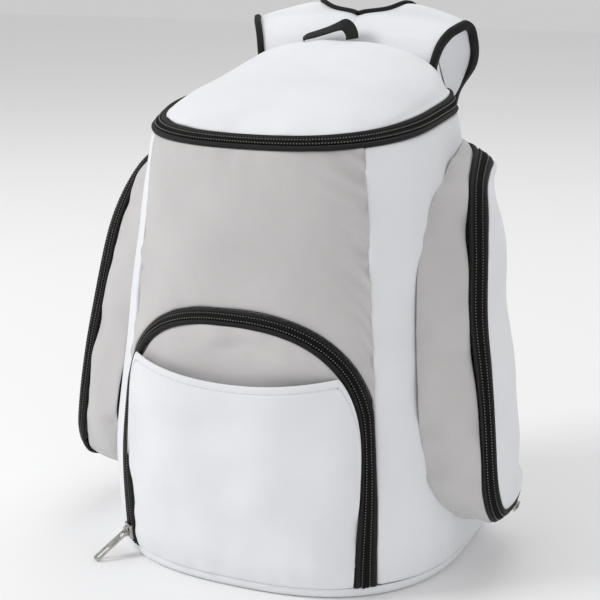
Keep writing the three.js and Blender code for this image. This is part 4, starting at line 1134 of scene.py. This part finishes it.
def slip_pocket():
    foot = BASE_SEAM_HEIGHT + SEAM_GAP

    def place(across, up):
        u = math.sin((across - 0.5) * math.pi)
        top = hem_height(u * FACE_HALVES[-1])
        z = lerp(foot, top - HEM_WIDTH * 0.9, up)
        point, proud = slip_point(u, z, top)
        return proud_of(point, proud + CLOTH * 0.6)

    def relief(left, right, low, high, point):
        height = 0.6 + seam_roll(min(left, right), 1.2, 5) + seam_roll(low, 1.2, 3)
        height += puckers(min(left, right), point.z, 23, 15, 2.4, 16)
        height += puckers(low, point.x, 24, 15, 1.3, 20)
        inside = smooth_step(min(left, right, low), 4, 24)
        return height + inside + soft_folds(point, 9, 46, 4.2) * smooth_step(min(high, low), 0, 30)

    mesh, corners = cloth_grid(72, 72, place, forwards)
    raise_cloth(mesh, corners, relief)
    cloth = white_piece("slip_pocket_cloth", mesh, ["slip_pocket"], CLOTH, 1)

    def hem_place(across, turn):
        u = math.sin((across - 0.5) * math.pi)
        top = hem_height(u * FACE_HALVES[-1])
        a, b = super_round(turn * 2 * math.pi, HEM_WIDTH / 2, CLOTH * 0.72 + 0.25, 3.5)
        z = top - HEM_WIDTH / 2 + a
        point, proud = slip_point(u, z, top)
        return proud_of(point, proud + CLOTH * 0.6 + b)

    mesh, _ = cloth_grid(90, 16, hem_place, forwards)
    close_tube(mesh)
    hem = white_piece("slip_hem", mesh, ["slip_pocket_hem"])

    band = []
    for step in range(HEM_STEPS + 1):
        u = math.sin((step / HEM_STEPS - 0.5) * math.pi * 0.96)
        top = hem_height(u * FACE_HALVES[-1])
        z = top - HEM_WIDTH * 0.86
        point, proud = slip_point(u, z, top)
        point = proud_of(point, proud + CLOTH * 1.25 + 0.25)
        band.append([point, point + Vector((0, 0, 0.1)), body_normal(point)])
    mesh = bmesh.new()
    stitch_row(mesh, band, 0.5, HEM_STITCH_PITCH, STITCH_LENGTH, HEM_STITCH_THICKNESS, 0.0)
    thread = make_piece("slip_hem_stitches", mesh, WHITE_THREAD)


def pocket_back():
    def place(across, up):
        u = (across - 0.5) * 2
        z = lerp(CLOTH * 2 + 1.2, POCKET_BACK_TOP, up)
        edge = arch_half(z) + PADDED_WALL
        point = front_point(u * edge, z)
        top = smooth_step(z, POCKET_BACK_TOP - 70, POCKET_BACK_TOP)
        middle = 1 - abs(u) ** 6
        drop = PADDED_WALL + SEAM_GAP * 2.5 + (POCKET_ROOM - PADDED_WALL) * middle * (1 - top)
        low = smooth_step(BASE_SEAM_HEIGHT * 3 - z, 0, BASE_SEAM_HEIGHT * 2)
        return proud_of(point, -drop - low * 9)

    mesh, _ = cloth_grid(36, 40, place, forwards)
    wall = white_piece("pocket_back", mesh, ["pocket_back_wall"], POCKET_BACK_WALL, 1)


# Side pockets


def pocket_line(side, station):
    """Seam, both edges of the zip and rear end of a side pocket at one station."""
    values = [column(SIDE_POCKET, name, station) for name in range(1, 10)]
    seam_y, seam_z, inner_out, inner_y, inner_z, outer_out, outer_y, outer_z, rear_z = values

    def on_side(depth, height, out):
        point = side_point(side, depth * BAG_FRONT_DEPTH, height * BAG_HEIGHT)
        return point + Vector((side * out * SIDE_POCKET_DEPTH, 0, 0))

    seam = proud_of(on_side(seam_y, seam_z, 0), SEAM_REST)
    inner = on_side(inner_y, inner_z, inner_out)
    outer = on_side(outer_y, outer_z, outer_out)
    rear = proud_of(side_point(side, SIDE_POCKET_REAR, rear_z * BAG_HEIGHT), SEAM_REST)
    above_low = outer.z - SIDE_POCKET_LOW * BAG_HEIGHT
    from_end = min(above_low, SIDE_POCKET_HIGH * BAG_HEIGHT - outer.z)
    full = smooth_step(from_end, -10, 60)
    return seam, inner, outer, rear, full


def side_pocket(name, side):
    count = SIDE_POCKET_STEPS
    last = SIDE_POCKET[-1][0]
    lines = [pocket_line(side, step / count * last) for step in range(count + 1)]

    def outward(point):
        return Vector((side, 0, 0))

    def gusset_place(across, along):
        seam, inner, _, _, _ = lines[round(along * count)]
        ends = math.sin(math.pi * clamp(along, 0.02, 0.98)) ** 0.5
        puff = math.sin(math.pi * across) * GUSSET_PUFF * ends
        out = body_normal(seam).lerp(Vector((side * 0.3, -0.6, 0)), 0.5).normalized()
        return seam.lerp(inner, across) + out * puff

    def gusset_relief(left, right, low, high, point):
        height = seam_roll(left, 1.2, 3) + seam_roll(right, 1.2, 3)
        height += puckers(left, point.z, 31 + side, 12, 1.5, 18)
        height += puckers(right, point.z, 34 + side, 13, 1.0, 14)
        ends = smooth_step(min(low, high), 0, 40)
        return (height + soft_folds(point, 11 + side, 34, 5.0)) * ends

    mesh, corners = cloth_grid(26, count, gusset_place, outward)
    raise_cloth(mesh, corners, gusset_relief)
    nodes = [f"side_pocket_gusset_{name}"]
    cloth = make_piece(f"gusset_cloth_{name}", mesh, GREY_NYLON, NYLON, 1, nodes)

    def panel_place(across, along):
        _, _, outer, rear, full = lines[round(along * count)]
        point = outer.lerp(rear, across)
        point.x = lerp(outer.x, rear.x, across ** lerp(2.1, 2.7, full))
        point.x += side * SIDE_POCKET_BULGE * full * math.sin(math.pi * across)
        return point

    def panel_relief(left, right, low, high, point):
        height = seam_roll(left, 1.2, 3) + seam_roll(right, 1.4, 4)
        height += puckers(left, point.z, 41 + side, 14, 1.0, 18)
        height += puckers(right, point.z, 44 + side, 14, 1.4, 22)
        ends = smooth_step(min(low, high), 0, 40)
        return (height + soft_folds(point, 15 + side, 56, 3.2)) * ends

    mesh, corners = cloth_grid(40, count, panel_place, outward)
    raise_cloth(mesh, corners, panel_relief)
    nodes = [f"side_pocket_panel_{name}"]
    cloth = white_piece(f"pocket_panel_{name}", mesh, nodes, CLOTH, 1)

    band = []
    for step, (_, inner, outer, _, _) in enumerate(lines):
        before = lines[max(step - 1, 0)]
        after = lines[min(step + 1, count)]
        along = (after[1] + after[2]) - (before[1] + before[2])
        out = along.cross(outer - inner).normalized()
        if out.dot(Vector((side, -0.3, 0))) < 0:
            out.negate()
        band.append([inner, outer, out])
    zip_tape(f"side_tape_{name}", band, TAPE_CLOTH, [f"side_zip_tape_{name}"], 1.2)
    zip_coil(f"side_coil_{name}", band[15:-15], COIL, [f"side_zip_coil_{name}"])
    mesh = bmesh.new()
    sewn = band[10:-10]
    for share in (0.12, 0.88):
        stitch_row(mesh, sewn, share, STITCH_PITCH, STITCH_LENGTH, STITCH_THICKNESS, 1.2)
    make_piece(f"side_zip_stitches_{name}", mesh, BLACK_THREAD)
    painted_coil_glints(f"side_coil_glints_{name}", band[15:-15], (band[85][1] - band[85][0]).length)
    back = -31
    middle = (band[back][0] + band[back][1]) / 2
    along = (band[back + 6][0] - band[back - 6][0]).normalized()
    small_slider(f"side_slider_{name}", middle, band[back][2], along, f"side_zip_slider_{name}")


def small_slider(name, middle, out, along, node):
    """A nickel slider with its bridge and a short pull that lies along the coil."""
    across = along.cross(out).normalized()
    up = out.cross(across).normalized()
    axes = placed(middle, across, up, out)
    mesh = bmesh.new()
    for width, length, height, lift, shift in (
        (9.6, 10.4, 1.3, 2.9, 0.0),
        (2.4, 8.0, 2.2, 4.4, 0.0),
        (5.5, 15.0, 1.2, 5.9, 5.5),
    ):
        block = Matrix.Translation((0, shift, lift)) @ Matrix.Diagonal((width, length, height, 1))
        bmesh.ops.create_cube(mesh, size=1, matrix=axes @ block)
    edges = mesh.edges[:]
    bmesh.ops.bevel(
        mesh, geom=edges, offset=0.35, segments=2, profile=0.5, affect="EDGES", material=-1
    )
    make_piece(name, mesh, NICKEL, replaces=[node])


# Harness


STRAP_END = STRAP[-1][0]


def strap_point(side, station, share):
    depth, inner_z, outer_z, inner, outer = [column(STRAP, name, station) for name in range(1, 6)]
    x = lerp(inner, outer, share) * BAG_HALF_WIDTH
    z = lerp(inner_z, outer_z, share) * BAG_HEIGHT
    panel = back_point(x, min(z, BAG_HEIGHT)).y
    return Vector((side * x, panel + SEAM_GAP + STRAP_THICKNESS / 2 + depth * BAG_BACK_DEPTH, z))


def strap_normal(side, station, share):
    below = strap_point(side, min(station + 0.2, STRAP_END), share)
    down = below - strap_point(side, max(station - 0.2, 0), share)
    outwards = strap_point(side, station, min(share + 0.05, 1))
    across = outwards - strap_point(side, station, max(share - 0.05, 0))
    return across.cross(down).normalized() * side


def strap(name, side):
    reach = STRAP_THICKNESS / 2

    def place(turn, share):
        station = share * STRAP_END
        a, b = super_round(turn * 2 * math.pi, 0.5, reach, 3.2)
        edge = 1 - abs(a * 2) ** 6
        point = strap_point(side, station, 0.5 + a)
        crown = 1.0 * (1 - (a * 2) ** 2) * smooth_step(share, 0.0, 0.1)
        lift = b * lerp(0.62, 1.0, edge) + math.copysign(crown, b) * 0.6
        return point + strap_normal(side, station, 0.5 + a) * lift

    mesh, _ = cloth_grid(72, STRAP_STEPS, place, backwards)
    wrinkle = {}
    shift = Vector((side * 5, 0, 0))
    mesh.normal_update()
    for corner in mesh.verts:
        along = Vector((corner.co.x / 60, corner.co.y / 14, corner.co.z / 14))
        ripple = noise.noise(along + shift)
        wrinkle[corner] = corner.normal * ripple * 0.7
    for corner, move in wrinkle.items():
        corner.co += move
    close_tube(mesh)
    pad = white_piece(f"strap_pad_{name}", mesh, [f"shoulder_strap_{name}"])

    strap_binding("outer", name, side, 1, 1, BINDING_WIDTH)
    strap_binding("inner", name, side, 0, 5, NECK_BINDING_WIDTH)
    strap_webbing(name, side)


def strap_binding(edge, name, side, share, first, width):
    """The binding sewn round one edge of a strap, from a first station to the strap's end."""
    stations = []
    for step in range(BINDING_STEPS + 1):
        station = lerp(first, STRAP_END, step / BINDING_STEPS)
        middle = strap_point(side, station, share)
        normal = strap_normal(side, station, share)
        ahead = strap_point(side, min(station + 0.1, STRAP_END), share)
        along = ahead - strap_point(side, station - 0.1, share)
        across = along.cross(normal).normalized()
        away = middle - strap_point(side, station, 0.5)
        if across.dot(away) < 0:
            across.negate()
        stations.append((middle + across * (width / 2 - 0.6), across, normal))
    high = STRAP_THICKNESS / 2 + BINDING_PROUD
    half = width / 2 + 1.0
    mesh = rolled_tube(stations, 16, lambda angle, along: super_round(angle, half, high, 3.0))
    binding = f"strap_binding_{edge}_{name}"
    make_piece(f"binding_{edge}_{name}", mesh, BINDING, replaces=[binding])


def strap_webbing(name, side):
    """The webbing that runs from a strap's adjuster down the back to its foot."""
    end = strap_point(side, STRAP_END, 0.5)
    down = (end - strap_point(side, STRAP_END - 1, 0.5)).normalized()
    start = end + down * (SEAM_REST * 2 + ADJUSTER_LENGTH)
    foot = back_point(side * BAG_HALF_WIDTH * 0.72, WEBBING_FOOT)
    rest = SEAM_GAP + WEBBING_THICKNESS / 2
    points = [start]
    for step in range(1, WEBBING_STEPS + 1):
        share = step / WEBBING_STEPS
        x = lerp(start.x, foot.x, share * share)
        z = lerp(start.z, foot.z, share)
        lift = (start.y - back_point(start.x, start.z).y - rest) * (1 - share) ** 1.6
        points.append(proud_of(back_point(x, z), rest + lift))
    mesh = webbing_ribbon(points, WEBBING_WIDTH, WEBBING_THICKNESS, lambda index: Vector((1, 0, 0)))
    make_piece(f"webbing_{name}", mesh, WEBBING, replaces=[f"strap_webbing_{name}"])


def webbing_ribbon(points, width, thickness, across_at):
    last = len(points) - 1
    stations = []
    for index, point in enumerate(points):
        along = (points[min(index + 1, last)] - points[max(index - 1, 0)]).normalized()
        across = across_at(index)
        across = (across - along * across.dot(along)).normalized()
        stations.append((point, across, across.cross(along)))

    def section(angle, share):
        return super_round(angle, width / 2, thickness / 2, 5.0)

    return rolled_tube(stations, 24, section)


def haul():
    points = []
    twists = []
    last = HAUL_LOOP[-1][0]
    for step in range(LOOP_STEPS + 1):
        station = step / LOOP_STEPS * last
        x = column(HAUL_LOOP, 1, station) * BAG_HALF_WIDTH
        edge = back_arch_height(x)
        y = back_point(x, edge).y - PADDED_WALL / 2 + column(HAUL_LOOP, 2, station) * BAG_BACK_DEPTH
        points.append(Vector((x, y, edge + column(HAUL_LOOP, 3, station) * BAG_HEIGHT)))
        twists.append(math.radians(column(HAUL_LOOP, 4, station)))

    def across_at(index):
        ahead = points[min(index + 1, LOOP_STEPS)]
        along = (ahead - points[max(index - 1, 0)]).normalized()
        back = Vector((0, 1, 0))
        sideways = along.cross(back)
        return back * math.cos(twists[index]) + sideways * math.sin(twists[index])

    mesh = webbing_ribbon(points, LOOP_WIDTH, LOOP_THICKNESS, across_at)
    make_piece("haul_webbing", mesh, WEBBING, replaces=["haul_loop"])


# Hard pieces


def from_solid(name, node, finish, body="bag", bevel=0.25):
    """A copy of a hard solid's mesh with its flat faces joined and its edges rounded."""
    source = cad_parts[node]
    mesh = bmesh.new()
    mesh.from_mesh(source.data)
    in_millimetres = Matrix.Scale(1 / MM, 4) @ source.matrix_world
    bmesh.ops.transform(mesh, matrix=in_millimetres, verts=mesh.verts)
    bmesh.ops.remove_doubles(mesh, verts=mesh.verts, dist=0.005)
    bmesh.ops.dissolve_limit(mesh, angle_limit=math.radians(2), verts=mesh.verts, edges=mesh.edges)
    piece = make_piece(name, mesh, finish, replaces=[node], body=body)
    rounded = piece.modifiers.new("rounded", "BEVEL")
    rounded.width = bevel * MM
    rounded.segments = 3
    rounded.limit_method = "ANGLE"
    rounded.angle_limit = math.radians(30)
    return piece


def lid_slider():
    band = lid_band()
    low, high, out = band[22]
    along = (band[24][0] - band[20][0]).normalized()
    small_slider("lid_slider", (low + high) / 2, out, along, "lid_zip_slider")


# Light, floor and camera


def area_light(name, place, target, size, power):
    data = bpy.data.lights.new(name, "AREA")
    data.size = size
    data.energy = power
    lamp = bpy.data.objects.new(name, data)
    lamp.location = place
    lamp.rotation_euler = (Vector(place) - Vector(target)).to_track_quat("Z", "Y").to_euler()
    bpy.context.scene.collection.objects.link(lamp)


def studio():
    mesh = bmesh.new()
    bmesh.ops.create_grid(mesh, x_segments=1, y_segments=1, size=6)
    data = bpy.data.meshes.new("studio_floor")
    mesh.to_mesh(data)
    mesh.free()
    finish, nodes, link, shader = bare_finish("studio_floor", 0.9)
    space = nodes.new("ShaderNodeTexCoord").outputs["Object"]
    slow = cloud(nodes, link, space, 0.6)
    shades = colour_between(nodes, link, slow, (0.93, 0.93, 0.935), (0.95, 0.95, 0.955))
    link(shades, shader.inputs["Base Color"])
    data.materials.append(finish)
    floor = bpy.data.objects.new("studio_floor", data)
    bpy.context.scene.collection.objects.link(floor)
    world = bpy.data.worlds.new("studio")
    world.use_nodes = True
    sky = world.node_tree.nodes["Background"]
    sky.inputs["Color"].default_value = (1.0, 1.0, 1.0, 1)
    sky.inputs["Strength"].default_value = 0.6
    bpy.context.scene.world = world
    bpy.context.scene.view_settings.view_transform = "Standard"
    area_light("key", (-2.3, -1.5, 2.0), (0, 0, 0.2), 1.1, 46)
    area_light("fill", (2.6, -1.6, 1.2), (0, 0, 0.2), 2.0, 8)
    area_light("top", (0.2, 1.2, 2.6), (0, 0, 0.3), 1.6, 14)


CAMERA_TURN = 24.0
CAMERA_TILT = 15.1
CAMERA_LENS = 84.36
CAMERA_AIM = (-0.006, 0.005, 0.210)
CAMERA_DISTANCE = 1.257


def photo_camera():
    azimuth = math.radians(CAMERA_TURN)
    tilt = math.radians(CAMERA_TILT)
    back = Vector((
        math.sin(azimuth) * math.cos(tilt),
        -math.cos(azimuth) * math.cos(tilt),
        math.sin(tilt),
    ))
    data = bpy.data.cameras.new("photo_camera")
    data.lens = CAMERA_LENS
    data.sensor_width = 36
    camera = bpy.data.objects.new("photo_camera", data)
    camera.location = Vector(CAMERA_AIM) + back * CAMERA_DISTANCE
    camera.rotation_euler = back.to_track_quat("Z", "Y").to_euler()
    bpy.context.scene.collection.objects.link(camera)
    bpy.context.scene.camera = camera


photo_camera()
studio()
base_floor()
front_cloth()
side_wall("left", -1)
side_wall("right", 1)
back_wall()
lid_top()
lid_zip()
lid_slider()
pocket_face()
slip_pocket()
pocket_back()
arch_zip()
side_pocket("left", -1)
side_pocket("right", 1)
strap("left", -1)
strap("right", 1)
haul()
from_solid("slider_body", "front_zip_slider", NICKEL)
from_solid("puller_plate", "front_zip_puller", NICKEL, "puller")
for hand in ("left", "right"):
    from_solid(f"adjuster_{hand}", f"strap_adjuster_{hand}", PLASTIC, bevel=0.5)
